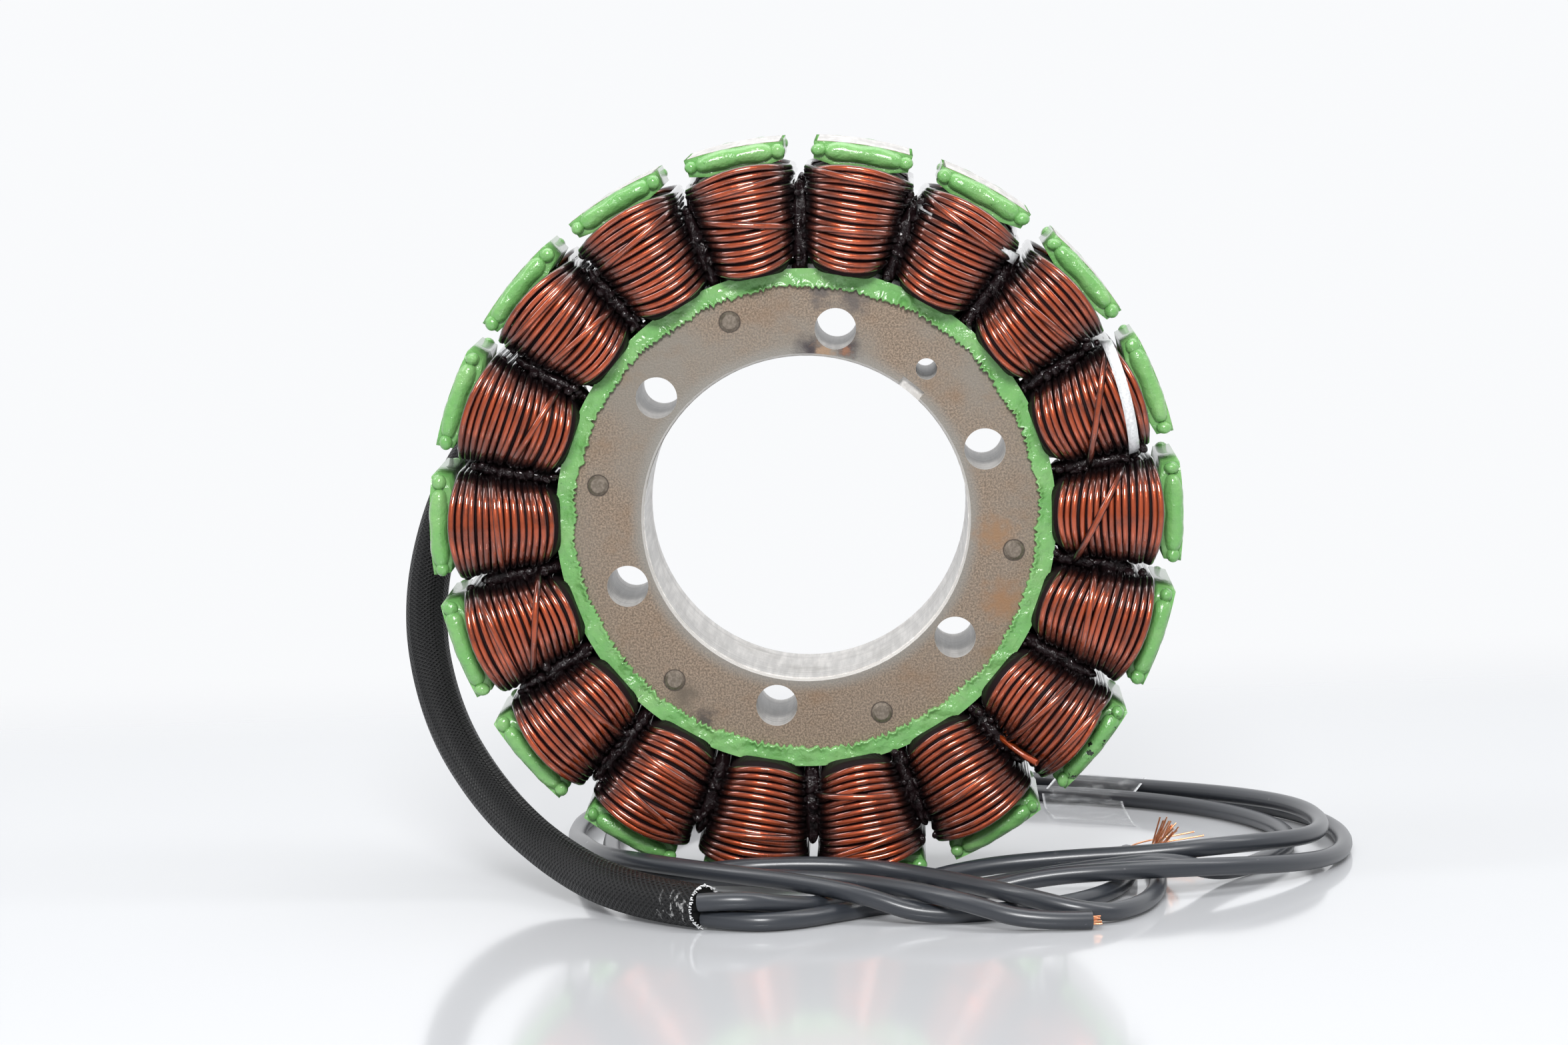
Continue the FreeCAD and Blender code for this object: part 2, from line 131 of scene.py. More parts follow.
# Each coil's last turns, which ride over the layer: the turn each starts from and the turn it reaches.
CROSSED = {
    1: ((2, 9),), 2: ((4, 12),), 3: ((9, 7), (2, 3)), 4: ((10, 12),), 5: ((6, 5), (12, 13)),
    6: ((5, 8), (12, 11)), 7: ((11, 9),), 8: ((4, 6), (11, 12)), 9: ((3, 6),), 10: ((8, 7),),
    11: ((2, 8), (11, 10)), 12: ((5, 4),), 13: ((9, 12), (4, 5)), 14: ((10, 9),), 15: ((3, 5), (12, 10)),
    16: ((9, 8),), 17: ((6, 8), (12, 13)), 18: ((7, 5),),
}

# Dried varnish: drops, and a near-black fill in each slot that is partly varnish and partly painted shade
# deep in the slot, and a wire end that stands out of one slot.
DROPS_PER_SLOT = 20
DROP_SMALLEST, DROP_LARGEST = 0.35 * MM, 0.95 * MM
FILL_HALF_W, FILL_HALF_H = 1.5 * MM, 2.4 * MM
FILL_SINK, FILL_LUMP = 1.2 * MM, 0.35 * MM
STRAY_END_R = np.array([46.0, 50.0, 53.2]) * MM
STRAY_END_ANGLE = np.array([310.0, 311.0, 312.5]) * DEG
STRAY_END_Y = np.array([-29.0, -34.0, -36.0]) * MM

# The lead sleeve and the three leads: points in millimetres, the last number a height above the floor.
SLEEVE_ROUTE = (
    (-41.5, 9.9, 82.0), (-52.3, 10.4, 73.4), (-61.1, 10.9, 59.5), (-65.2, 7.8, 41.3), (-61.4, -2.6, 25.3),
    (-52.7, -16.6, 14.0), (-41.5, -33.0, 6.6), (-28.2, -54.0, 3.55), (-16.6, -63.3, 3.55),
)
LEAD_A_ROUTE = (
    (-16.4, -63.45, 1.8), (-10.2, -67.0, 1.5), (-2.5, -65.6, 1.5), (6.0, -57.8, 1.5), (15.0, -51.0, 1.5),
    (25.0, -47.5, 2.0), (36.0, -46.5, 4.3), (48.0, -46.0, 4.9), (62.0, -42.0, 4.6), (76.0, -31.5, 3.0),
    (85.0, -17.0, 1.6), (88.0, 1.0, 1.5), (85.5, 21.0, 1.5), (75.0, 40.0, 1.5), (58.0, 57.0, 1.5),
    (36.0, 68.0, 1.5), (11.0, 74.0, 1.5), (-14.0, 71.5, 1.5), (-32.0, 58.0, 1.5), (-40.5, 37.0, 1.5),
    (-41.0, 14.0, 1.8), (-38.0, -7.0, 4.2), (-34.5, -25.0, 5.4), (-25.0, -41.5, 6.6), (-12.0, -51.0, 6.3),
    (0.0, -56.5, 5.5), (9.0, -61.5, 4.3), (17.0, -63.2, 1.5), (28.0, -61.7, 1.5), (40.0, -56.0, 1.5),
    (48.5, -43.0, 1.5), (51.0, -26.0, 1.5), (51.0, -9.5, 1.5),
)
LEAD_B_ROUTE = (
    (-17.1, -65.0, 4.45), (-10.4, -66.9, 5.1), (-3.0, -62.5, 3.3), (5.0, -53.8, 1.6), (13.0, -47.0, 1.5),
    (23.0, -43.0, 1.6), (34.0, -41.7, 3.2), (46.0, -41.2, 4.7), (57.0, -39.3, 5.3), (65.0, -31.4, 1.6),
    (73.0, -19.0, 1.5), (78.5, -3.0, 1.5), (78.0, 14.0, 1.5), (70.0, 32.0, 1.5), (56.0, 46.0, 1.5),
    (37.0, 56.0, 1.5), (16.0, 60.5, 1.5), (-5.0, 56.5, 1.5), (-19.0, 43.0, 1.5), (-26.5, 24.0, 1.5),
    (-28.5, 3.0, 1.5), (-27.5, -18.0, 1.5), (-23.3, -34.0, 2.8), (-13.5, -40.6, 5.6), (0.0, -39.6, 5.7),
    (11.5, -41.0, 5.0), (21.5, -50.8, 4.8), (31.5, -63.0, 4.6), (44.0, -67.0, 1.8), (50.8, -58.8, 1.5),
    (54.4, -45.0, 1.5), (55.2, -29.0, 1.5), (55.0, -14.0, 1.5),
)
LEAD_C_ROUTE = (
    (-14.4, -62.7, 4.3), (-7.9, -62.4, 3.2), (-2.0, -56.0, 1.6), (5.0, -46.5, 1.5), (14.0, -38.8, 1.8),
    (26.0, -34.0, 3.9), (40.0, -33.0, 4.8), (54.0, -34.4, 5.6), (67.0, -33.0, 6.6), (80.5, -20.0, 5.4),
    (84.0, -2.0, 4.7), (81.5, 16.0, 4.7), (72.5, 33.5, 3.9), (57.5, 49.5, 3.0), (38.0, 60.0, 3.0),
    (15.0, 67.0, 4.0), (-8.0, 66.0, 4.4), (-26.0, 55.0, 3.0), (-33.5, 38.0, 1.6), (-34.8, 18.0, 1.5),
    (-34.0, -2.0, 1.5), (-31.5, -20.0, 1.9), (-27.3, -33.7, 3.6), (-16.5, -43.5, 4.7), (-4.0, -46.5, 4.8),
    (6.0, -51.0, 4.9), (15.0, -60.0, 5.1), (24.0, -67.5, 4.2), (33.5, -71.2, 1.6), (43.0, -69.5, 1.5),
)
SLEEVE_D = 7.0 * MM
LEAD_D = 2.9 * MM
SLEEVE_LENGTH = 0.148
LEAD_ROUTES = {"a": LEAD_A_ROUTE, "b": LEAD_B_ROUTE, "c": LEAD_C_ROUTE}

# Each lead's bared strands: the way they point, how far they reach, how far they fan out and how many show.
STRAND_FANS = {
    "a": ((1.0, 0.30, 0.13), 15.0 * MM, 0.07, 4),
    "b": ((0.50, 0.35, 0.80), 7.2 * MM, 0.20, 17),
    "c": ((1.0, 0.18, 0.0), 1.6 * MM, 0.10, 12),
}
STRAND_R = 0.14 * MM

# The film round two leads: the stretch of each lead that it holds, its rows across its width and their masks
# of painted reflection at the film's edges.
TAPE_RUNS = ((LEAD_B_ROUTE, 14), (LEAD_C_ROUTE, 13))
TAPE_W = 17.0 * MM
TAPE_GAP = 0.22 * MM
TAPE_SLANT = 1.7 * MM
TAPE_TAIL = 21.0 * MM
TAPE_TAIL_WAY = np.array([0.1, -1.0, 0.0])
TAPE_ROWS = np.array([-1.0, -0.97, -0.93, -0.4, 0.1, 0.55, 0.62, 0.93, 0.97, 1.0])
# Painted reflection on the film's edge rows.
TAPE_EDGE_GLINTS = np.array([1.0, 1.0, 0.0, 0.0, 0.0, 0.0, 0.0, 0.0, 1.0, 1.0])

# The lacing tapes: node, coil, how far out along the tooth, lean, lift off the wire and shift across.
TIE_W = 1.7 * MM
TIE_T = 0.3 * MM
TIES = (
    ("lacing_tie_1", 2, COIL_TOP_R - 1.9 * MM, 1.1 * MM, 0.35 * MM, 0.0),
    ("lacing_tie_2", 4, COIL_TOP_R - 3.4 * MM, 0.3 * MM, -1.5 * MM, -0.5 * MM),
)

# Colours of wear, dirt, small things and painted shade, as red, green, blue and 1.
# Painted shade between the turns of a coil.
SHADE_BETWEEN_TURNS = (0.030, 0.008, 0.010, 1.0)
# Painted shade in the coat's fine pits and in the holes in one bead.
PIT_SHADE_GREEN = (0.035, 0.12, 0.03, 1.0)
HOLE_SHADE_BLACK = (0.012, 0.02, 0.01, 1.0)
SMUDGE = (0.05, 0.04, 0.045, 1.0)
GREY_STAIN = (0.13, 0.11, 0.10, 1.0)
OLIVE_STAIN = (0.15, 0.12, 0.09, 1.0)
DARK_STAIN = (0.10, 0.08, 0.07, 1.0)
PALE_RUST = (0.34, 0.23, 0.15, 1.0)
RED_RUST = (0.26, 0.13, 0.08, 1.0)
WARM_RUST = (0.30, 0.17, 0.09, 1.0)
TAN_RUST = (0.30, 0.18, 0.10, 1.0)
RUST_FILM = (0.25, 0.145, 0.075, 1.0)
PLATE_GREY = (0.245, 0.222, 0.19, 1.0)
BORE_GREY = (0.27, 0.262, 0.24, 1.0)
SPECK = (0.07, 0.055, 0.045, 1.0)
# Painted shade in the groove round each rivet's head.
RIVET_GROOVE_SHADE = (0.06, 0.045, 0.035, 1.0)
RIVET_DARK, RIVET_LIGHT = (0.17, 0.14, 0.11, 1.0), (0.28, 0.235, 0.19, 1.0)
SHEET_GAP = (0.20, 0.185, 0.165, 1.0)
DULL_STEEL = (0.30, 0.275, 0.24, 1.0)
SCUFF = (0.28, 0.29, 0.30, 1.0)
SCRATCH = (0.25, 0.25, 0.25, 1.0)
CHALK = (0.34, 0.34, 0.34, 1.0)
SHRINK_BLACK = (0.012, 0.012, 0.013, 1.0)
TAPE_GREY, TAPE_WHITE = (0.66, 0.67, 0.68, 1.0), (0.88, 0.89, 0.90, 1.0)
COPPER_DEEP, COPPER_BRIGHT = (0.72, 0.30, 0.15, 1.0), (0.88, 0.48, 0.28, 1.0)
# White that shows as painted reflection where the film is made more opaque.
FILM_CLEAR = (0.90, 0.92, 0.94, 1.0)
FIBRE_WHITE = (0.82, 0.83, 0.84, 1.0)
BACKDROP_WHITE = (0.95, 0.96, 0.975, 1.0)

# Marks on the end plate, in millimetres: x, z, radius, how ragged the edge is, and the colour.
PLATE_MARKS = (
    (1.5, 26.6, 4.0, 4.0, SMUDGE), (7.2, 27.2, 3.2, 4.0, SMUDGE), (3.6, 26.5, 2.5, 6.0, PALE_RUST),
    (7.0, 26.6, 1.4, 5.0, RED_RUST), (8.5, 34.5, 3.6, 5.0, GREY_STAIN), (3.0, 35.6, 2.8, 5.0, GREY_STAIN),
    (-20.0, -28.0, 3.4, 5.0, OLIVE_STAIN), (-17.0, -32.0, 2.6, 5.0, DARK_STAIN),
    (31.0, -14.0, 5.0, 6.0, WARM_RUST), (30.0, -3.0, 4.4, 6.0, TAN_RUST),
)

# The lead sleeve's weave: the pitch of its ribs along the sleeve, and their number round it.
RIB_PITCH = 0.85 * MM
RIBS_ROUND = 22.0

# The camera, where the photograph was taken from.
CAMERA_AT = (0.014813, -0.86399, 0.08723)
CAMERA_LENS = 120.99
CAMERA_SENSOR = 36.0
CAMERA_YAW = -0.021978
CAMERA_PITCH = -0.104995
CAMERA_ROLL = -0.021918

# The studio: the table and the lamps, each with its place, its width and height, and its watts.
TABLE_X = np.array([-1.6, 1.6])
TABLE_Y = np.array([-1.6, 0.9])
TABLE_FADE_START_Y, TABLE_FADE_END_Y, TABLE_FADE_SLANT = 0.14, 0.26, -0.12
TABLE_RIM_R = 0.62
TABLE_GAP = 0.02 * MM
FLOOR_GLOW = 0.12
WORLD_LIGHT, MIRRORED_FRONT, MIRRORED_BACK = 0.40, 0.42, 1.0
LAMP_AIM = (0.0, -0.02, 0.0)
LAMPS = (
    ("key_box", (0.0, -0.95, 0.56), (0.34, 0.24), 9.6),
    ("top_box", (0.0, 0.15, 0.9), (0.9, 0.6), 4.0),
    ("left_strip", (-0.6, -0.2, 0.62), (0.16, 0.5), 1.7),
    ("right_strip", (0.6, -0.1, 0.66), (0.16, 0.5), 1.7),
)


class StatorSettings(bpy.types.PropertyGroup):
    """Sizes and colours that change from one stator to the next."""

    wire_diameter: bpy.props.FloatProperty(
        name="Wire diameter", description="Enamelled wire of the coils, over its enamel",
        default=1.14 * MM, min=0.3 * MM, max=3.0 * MM, unit="LENGTH", precision=5)
    turns: bpy.props.IntProperty(
        name="Turns in a layer", description="Turns that lie side by side along one tooth",
        default=15, min=4, max=40)
    unevenness: bpy.props.FloatProperty(
        name="Unevenness", description="How far a turn strays from an even layer",
        default=0.28 * MM, min=0.0, max=1.0 * MM, unit="LENGTH", precision=5)
    enamel_colour: bpy.props.FloatVectorProperty(
        name="Enamel", description="Colour of the wire's enamel over its copper",
        default=(0.50, 0.075, 0.012, 1.0), size=4, subtype="COLOR")
    # Also used as painted shade on a coil's sides and in the depth of the coils.
    varnish_and_shade_colour: bpy.props.FloatVectorProperty(
        name="Varnish", description="Dried varnish between the turns and in the slots",
        default=(0.012, 0.006, 0.007, 1.0), size=4, subtype="COLOR")
    coat_colour: bpy.props.FloatVectorProperty(
        name="Coat", description="Resin coat of the core",
        default=(0.165, 0.425, 0.12, 1.0), size=4, subtype="COLOR")
    plate_colour: bpy.props.FloatVectorProperty(
        name="Plate", description="Tarnished face of the end plate",
        default=(0.262, 0.198, 0.145, 1.0), size=4, subtype="COLOR")
    ground_colour: bpy.props.FloatVectorProperty(
        name="Ground steel", description="Ground walls of the bore and the holes",
        default=(0.84, 0.815, 0.785, 1.0), size=4, subtype="COLOR")
    jacket_colour: bpy.props.FloatVectorProperty(
        name="Lead jacket", description="Rubbery jacket of the three leads",
        default=(0.029, 0.033, 0.041, 1.0), size=4, subtype="COLOR")
    sleeve_colour: bpy.props.FloatVectorProperty(
        name="Woven sleeve", description="Varnished weave of the sleeve over the leads",
        default=(0.0045, 0.0045, 0.005, 1.0), size=4, subtype="COLOR")
    floor_colour: bpy.props.FloatVectorProperty(
        name="Floor", description="Pale glossy table top",
        default=(0.57, 0.58, 0.60, 1.0), size=4, subtype="COLOR")


# Surfaces.

def settings():
    """The sizes and colours in use."""
    return bpy.context.scene.stator


def unit(vectors):
    """Each vector divided by its length."""
    return vectors / np.maximum(np.linalg.norm(vectors, axis=-1, keepdims=True), 1e-12)


def polar(r, angle, y):
    """Points at radius r and an angle round the bore: x is r times the cosine, z is r times the sine."""
    r, angle, y = np.broadcast_arrays(r, angle, y)
    return np.stack([r * np.cos(angle), y, r * np.sin(angle)], axis=-1)


def face_point(radius, angle):
    """The x and z of a point on the core's face."""
    return radius * math.cos(angle), radius * math.sin(angle)


def from_tooth(points, angle):
    """Points given as (out along the tooth, y, across it), turned to the tooth at that angle."""
    out, y, across = points[..., 0], points[..., 1], points[..., 2]
    x = out * math.cos(angle) - across * math.sin(angle)
    z = out * math.sin(angle) + across * math.cos(angle)
    return np.stack([x, y, z], axis=-1)


def ripple(phase, count, lowest, highest, rng):
    """Sum of sines of an angle, each with whole waves and a chance start, scaled to about -1..1."""
    waves = rng.integers(lowest, highest, count)
    starts = rng.uniform(0.0, 2.0 * math.pi, count)
    total = np.zeros_like(phase)
    for wave, start in zip(waves, starts):
        total = total + np.sin(wave * phase + start)
    return total / math.sqrt(count)


def bump_at(distance, width):
    """Bell curve: e to the power of minus the distance over the width, squared."""
    return np.exp(-((distance / width) ** 2))


def grid(points, wrap_u=False, wrap_v=False, flip=False):
    """Corners and four-sided faces of surfaces on a grid, from an array (surface, u, v, 3)."""
    count, rows, columns = points.shape[:3]
    index = np.arange(count * rows * columns).reshape(count, rows, columns)
    if wrap_u:
        index = np.concatenate([index, index[:, :1]], axis=1)
    if wrap_v:
        index = np.concatenate([index, index[:, :, :1]], axis=2)
    faces = np.stack([
        index[:, :-1, :-1], index[:, :-1, 1:], index[:, 1:, 1:], index[:, 1:, :-1],
    ], axis=-1).reshape(-1, 4)
    if flip:
        faces = faces[:, ::-1]
    return points.reshape(-1, 3), faces


def beside(paths):
    """The direction of closed paths, and the way across it and across the tooth's outward way."""
    ahead = unit(np.roll(paths, -1, axis=1) - np.roll(paths, 1, axis=1))
    return ahead, unit(np.cross(np.broadcast_to(OUTWARD, ahead.shape), ahead))


def tubes(paths, radius):
    """Closed round wires: each path's point plus the radius times a circle in the plane across the path."""
    ahead, side = beside(paths)
    up = np.cross(ahead, side)
    turn = np.linspace(0.0, 2.0 * math.pi, WIRE_SIDES, endpoint=False)[None, None, :, None]
    points = paths[:, :, None] + radius * (np.cos(turn) * side[:, :, None] + np.sin(turn) * up[:, :, None])
    return grid(points, wrap_u=True, wrap_v=True)


def joined(parts):
    """One list of corners and faces from several."""
    corners, faces, start = [], [], 0
    for points, quads in parts:
        corners.append(points)
        faces.append(quads + start)
        start += len(points)
    return np.concatenate(corners), np.concatenate(faces)


def mesh_piece(name, corners, faces, material, values=None, merge=False):
    """A smooth-shaded mesh object at the origin that rides with the core."""
    mesh = bpy.data.meshes.new(name)
    mesh.vertices.add(len(corners))
    mesh.vertices.foreach_set("co", np.ascontiguousarray(corners, dtype=np.float32).ravel())
    mesh.loops.add(faces.size)
    mesh.loops.foreach_set("vertex_index", np.ascontiguousarray(faces, dtype=np.int32).ravel())
    mesh.polygons.add(len(faces))
    mesh.polygons.foreach_set("loop_start", np.arange(0, faces.size, 4, dtype=np.int32))
    for key, value in (values or {}).items():
        layer = mesh.attributes.new(key, "FLOAT", "POINT")
        layer.data.foreach_set("value", np.ascontiguousarray(value, dtype=np.float32))
    mesh.update(calc_edges=True)
    mesh.validate()
    mesh.polygons.foreach_set("use_smooth", np.ones(len(mesh.polygons), dtype=bool))
    mesh.materials.append(material)
    if merge:
        merge_poles(mesh)
    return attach(in_scene(name, mesh), "root")


def in_scene(name, data):
    """A new object in the scene, with that mesh, curve, lamp or camera."""
    made = bpy.data.objects.new(name, data)
    bpy.context.scene.collection.objects.link(made)
    return made


def merge_poles(mesh):
    """Closes the ends where a whole row of corners falls on one point."""
    work = bmesh.new()
    work.from_mesh(mesh)
    bmesh.ops.remove_doubles(work, verts=work.verts, dist=1e-6)
    work.to_mesh(mesh)
    work.free()


def blobs(centres, axes, sizes, rows=7, columns=8):
    """Ellipsoids: centre plus the sizes times a unit sphere's point, on each blob's three axes.

    centres is (n, 3), axes is (n, 3, 3) with an axis in each row, sizes is (n, 3).
    """
    polar_angle = np.linspace(0.0, math.pi, rows)[:, None]
    round_angle = np.linspace(0.0, 2.0 * math.pi, columns, endpoint=False)[None, :]
    ball = np.stack(np.broadcast_arrays(
        np.sin(polar_angle) * np.cos(round_angle), np.sin(polar_angle) * np.sin(round_angle),
        np.cos(polar_angle)), axis=-1)
    scaled = ball[None] * sizes[:, None, None]
    points = centres[:, None, None] + np.einsum("nuvk,nkj->nuvj", scaled, axes)
    return grid(points, wrap_v=True, flip=True)


# Finishes.

def filled(tree, made, inputs):
    """Sets or links a node's inputs, and returns the node."""
    for key, value in inputs.items():
        if isinstance(value, bpy.types.NodeSocket):
            tree.links.new(value, made.inputs[key])
        else:
            made.inputs[key].default_value = value
    return made


def node(tree, kind, inputs, **options):
    """A new shader node with its options and inputs."""
    made = tree.nodes.new(kind)
    for key, value in options.items():
        setattr(made, key, value)
    return filled(tree, made, inputs)


def calculated(tree, operation, *values):
    """Result of one sum on sockets and numbers."""
    return node(tree, "ShaderNodeMath", dict(enumerate(values)), operation=operation).outputs[0]


def ranged(tree, value, low, high, bottom=0.0, top=1.0, curve="SMOOTHSTEP"):
    """The value carried from low..high to bottom..top, and held at them past the ends."""
    return node(tree, "ShaderNodeMapRange", {
        "Value": value, "From Min": low, "From Max": high, "To Min": bottom, "To Max": top,
    }, interpolation_type=curve).outputs["Result"]


def place_of(tree, kind="Object"):
    """Where a point lies, on the piece's own axes or on its map, or which way it lies in the surroundings."""
    return node(tree, "ShaderNodeTexCoord", {}).outputs[kind]


def vector_sum(tree, operation, *vectors):
    """Result of one sum on vectors."""
    return node(tree, "ShaderNodeVectorMath", dict(enumerate(vectors)), operation=operation).outputs


def split(tree, vector):
    """The vector's X, Y and Z."""
    return node(tree, "ShaderNodeSeparateXYZ", {0: vector}).outputs


def own_mask(tree, name):
    """A mask that the piece carries on its corners."""
    return node(tree, "ShaderNodeAttribute", {}, attribute_name=name).outputs["Fac"]


def noise(tree, place, scale, detail, roughness=0.5):
    """Noise of about 0..1 at a place."""
    return node(tree, "ShaderNodeTexNoise", {
        "Vector": place, "Scale": scale, "Detail": detail, "Roughness": roughness}).outputs["Fac"]


def mixed(tree, mask, first, second, most=1.0):
    """Colour that goes from first to second with the mask, up to a share of the second."""
    if most < 1.0:
        mask = calculated(tree, "MULTIPLY", mask, most)
    return node(tree, "ShaderNodeMix", {0: mask, 6: first, 7: second}, data_type="RGBA").outputs[2]


def bumped(tree, height, distance, strength):
    """Normal of a surface that is raised by the height times the distance."""
    return node(tree, "ShaderNodeBump", {
        "Height": height, "Distance": distance, "Strength": strength}).outputs["Normal"]


def shaded(colour, factor):
    """A colour made darker or lighter by a factor."""
    return tuple(c * factor for c in colour[:3]) + (1.0,)


def group_tree(name, inputs):
    """A node group with those inputs at their usual values and the one output Mask."""
    tree = bpy.data.node_groups.new(name, "ShaderNodeTree")
    for key, value in inputs.items():
        kind = "NodeSocketVector" if isinstance(value, tuple) else "NodeSocketFloat"
        tree.interface.new_socket(key, in_out="INPUT", socket_type=kind).default_value = value
    tree.interface.new_socket("Mask", in_out="OUTPUT", socket_type="NodeSocketFloat")
    return tree, tree.nodes.new("NodeGroupInput").outputs, tree.nodes.new("NodeGroupOutput").inputs["Mask"]


def mottle_group(name):
    """Noise on object coordinates, stretched by Stretch, cut to 0..1 between Low and High."""
    tree, given, result = group_tree(name, {
        "Scale": 100.0, "Stretch": (1.0, 1.0, 1.0), "Low": 0.4, "High": 0.6})
    place = vector_sum(tree, "MULTIPLY", place_of(tree), given["Stretch"])[0]
    grain = noise(tree, place, given["Scale"], 4.0, 0.6)
    tree.links.new(ranged(tree, grain, given["Low"], given["High"]), result)
    return tree


def spot_group(name):
    """Soft round patch on the core's face: 1 inside Core, 0 past Radius, its edge broken by noise."""
    tree, given, result = group_tree(name, {
        "Centre": (0.0, 0.0, 0.0), "Radius": 3.0 * MM, "Core": 0.0, "Ragged": 1.0 * MM})
    place = place_of(tree)
    flat = vector_sum(tree, "MULTIPLY", place, (1.0, 0.0, 1.0))[0]
    away = vector_sum(tree, "DISTANCE", flat, given["Centre"])["Value"]
    uneven = calculated(tree, "SUBTRACT", noise(tree, place, 700.0, 3.0), 0.5)
    ragged = calculated(tree, "MULTIPLY_ADD", uneven, given["Ragged"], away)
    tree.links.new(ranged(tree, ragged, given["Radius"], given["Core"]), result)
    return tree


def placed(tree, name, build, inputs):
    """The mask of one use of a node group, which is built the first time it is asked for."""
    made = tree.nodes.new("ShaderNodeGroup")
    made.node_tree = bpy.data.node_groups.get(name) or build(name)
    return filled(tree, made, inputs).outputs["Mask"]


def mottle(tree, scale, low, high, stretch=(1.0, 1.0, 1.0)):
    """Mask of noise cut between low and high."""
    return placed(tree, "mottle", mottle_group, {
        "Scale": scale, "Stretch": stretch, "Low": low, "High": high})


def spot(tree, x, z, radius, core, ragged):
    """Mask of a round patch at x and z on the core's face."""
    return placed(tree, "spot", spot_group, {
        "Centre": (x, 0.0, z), "Radius": radius, "Core": core, "Ragged": ragged})


def enamel_finish(tree):
    """Copper under red-brown enamel and glossy varnish, with painted shade between the turns and on a coil's
    sides.
    """
    bright = settings().enamel_colour
    base = mixed(tree, mottle(tree, scale=260.0, low=0.35, high=0.72), bright, shaded(bright, 0.45))
    # Painted shade between the turns, where each wire meets the next.
    base = mixed(tree, ranged(tree, own_mask(tree, "valley"), 0.36, 0.9), base, SHADE_BETWEEN_TURNS)
    # Painted shade, in the varnish's colour, towards a coil's sides.
    base = mixed(tree, own_mask(tree, "side"), base, settings().varnish_and_shade_colour)
    drips = mottle(tree, scale=900.0, low=0.3, high=0.8)
    return {
        "Base Color": base, "Metallic": 0.55, "Roughness": 0.27, "Coat Weight": 1.0, "Coat IOR": 1.65,
        "Coat Roughness": 0.05, "Normal": bumped(tree, drips, distance=0.04 * MM, strength=0.5),
    }


def varnish_finish(tree):
    """Near-black dried varnish, wet-looking and lumpy, on the drops and on the slot fills, which are partly
    painted shade.
    """
    lumps = mottle(tree, scale=520.0, low=0.42, high=0.72)
    return {
        "Base Color": settings().varnish_and_shade_colour, "Roughness": 0.07, "Specular IOR Level": 0.32,
        "Normal": bumped(tree, lumps, distance=0.3 * MM, strength=0.7),
    }


def varnish_and_depth_shade_finish(tree):
    """Dull dark varnish in the depth of the coils, near-black partly as painted shade deep between the turns.
    """
    return {"Base Color": settings().varnish_and_shade_colour, "Roughness": 0.6, "Specular IOR Level": 0.12}


def coat_finish(tree):
    """Glossy green resin: slightly cloudy, wavy and finely pitted, with painted shade in the pits and black
    painted shade in holes in one tooth's beads.
    """
    green = settings().coat_colour
    pale = (green[0] * 1.5, green[1] * 1.18, green[2] * 1.45, 1.0)
    base = mixed(tree, mottle(tree, scale=170.0, low=0.35, high=0.75), green, pale)
    # Painted shade in fine pits.
    base = mixed(tree, mottle(tree, scale=1500.0, low=0.70, high=0.76), base, PIT_SHADE_GREEN)
    pitted = face_point(BEAD_R, PITTED_BEAD_ANGLE)
    region = spot(tree, *pitted, radius=8.0 * MM, core=5.0 * MM, ragged=1.0 * MM)
    holes = mottle(tree, scale=820.0, low=0.6, high=0.63)
    # Black painted shade in holes in one tooth's beads.
    base = mixed(tree, calculated(tree, "MULTIPLY", region, holes), base, HOLE_SHADE_BLACK)
    waves = mottle(tree, scale=420.0, low=0.2, high=0.8)
    return {
        "Base Color": base, "Roughness": 0.2, "Coat Weight": 0.5, "Coat Roughness": 0.05,
        "Normal": bumped(tree, waves, distance=0.35 * MM, strength=0.6),
    }


def plate_marks(tree, base):
    """The plate's marks over its colour: rust, smudges and stains, and painted shade in the groove round each
    rivet.
    """
    for x, z, radius, ragged, colour in PLATE_MARKS:
        mask = spot(tree, x * MM, z * MM, radius=radius * MM, core=0.0, ragged=ragged * MM)
        base = mixed(tree, mask, base, colour)
    for angle in RIVET_ANGLES:
        at = face_point(RIVET_CIRCLE_R, angle * DEG)
        # Painted shade in the groove round the rivet's head.
        mask = spot(tree, *at, radius=RIVET_R * 1.19, core=RIVET_R * 1.02, ragged=0.25 * MM)
        base = mixed(tree, mask, base, RIVET_GROOVE_SHADE)
    return base


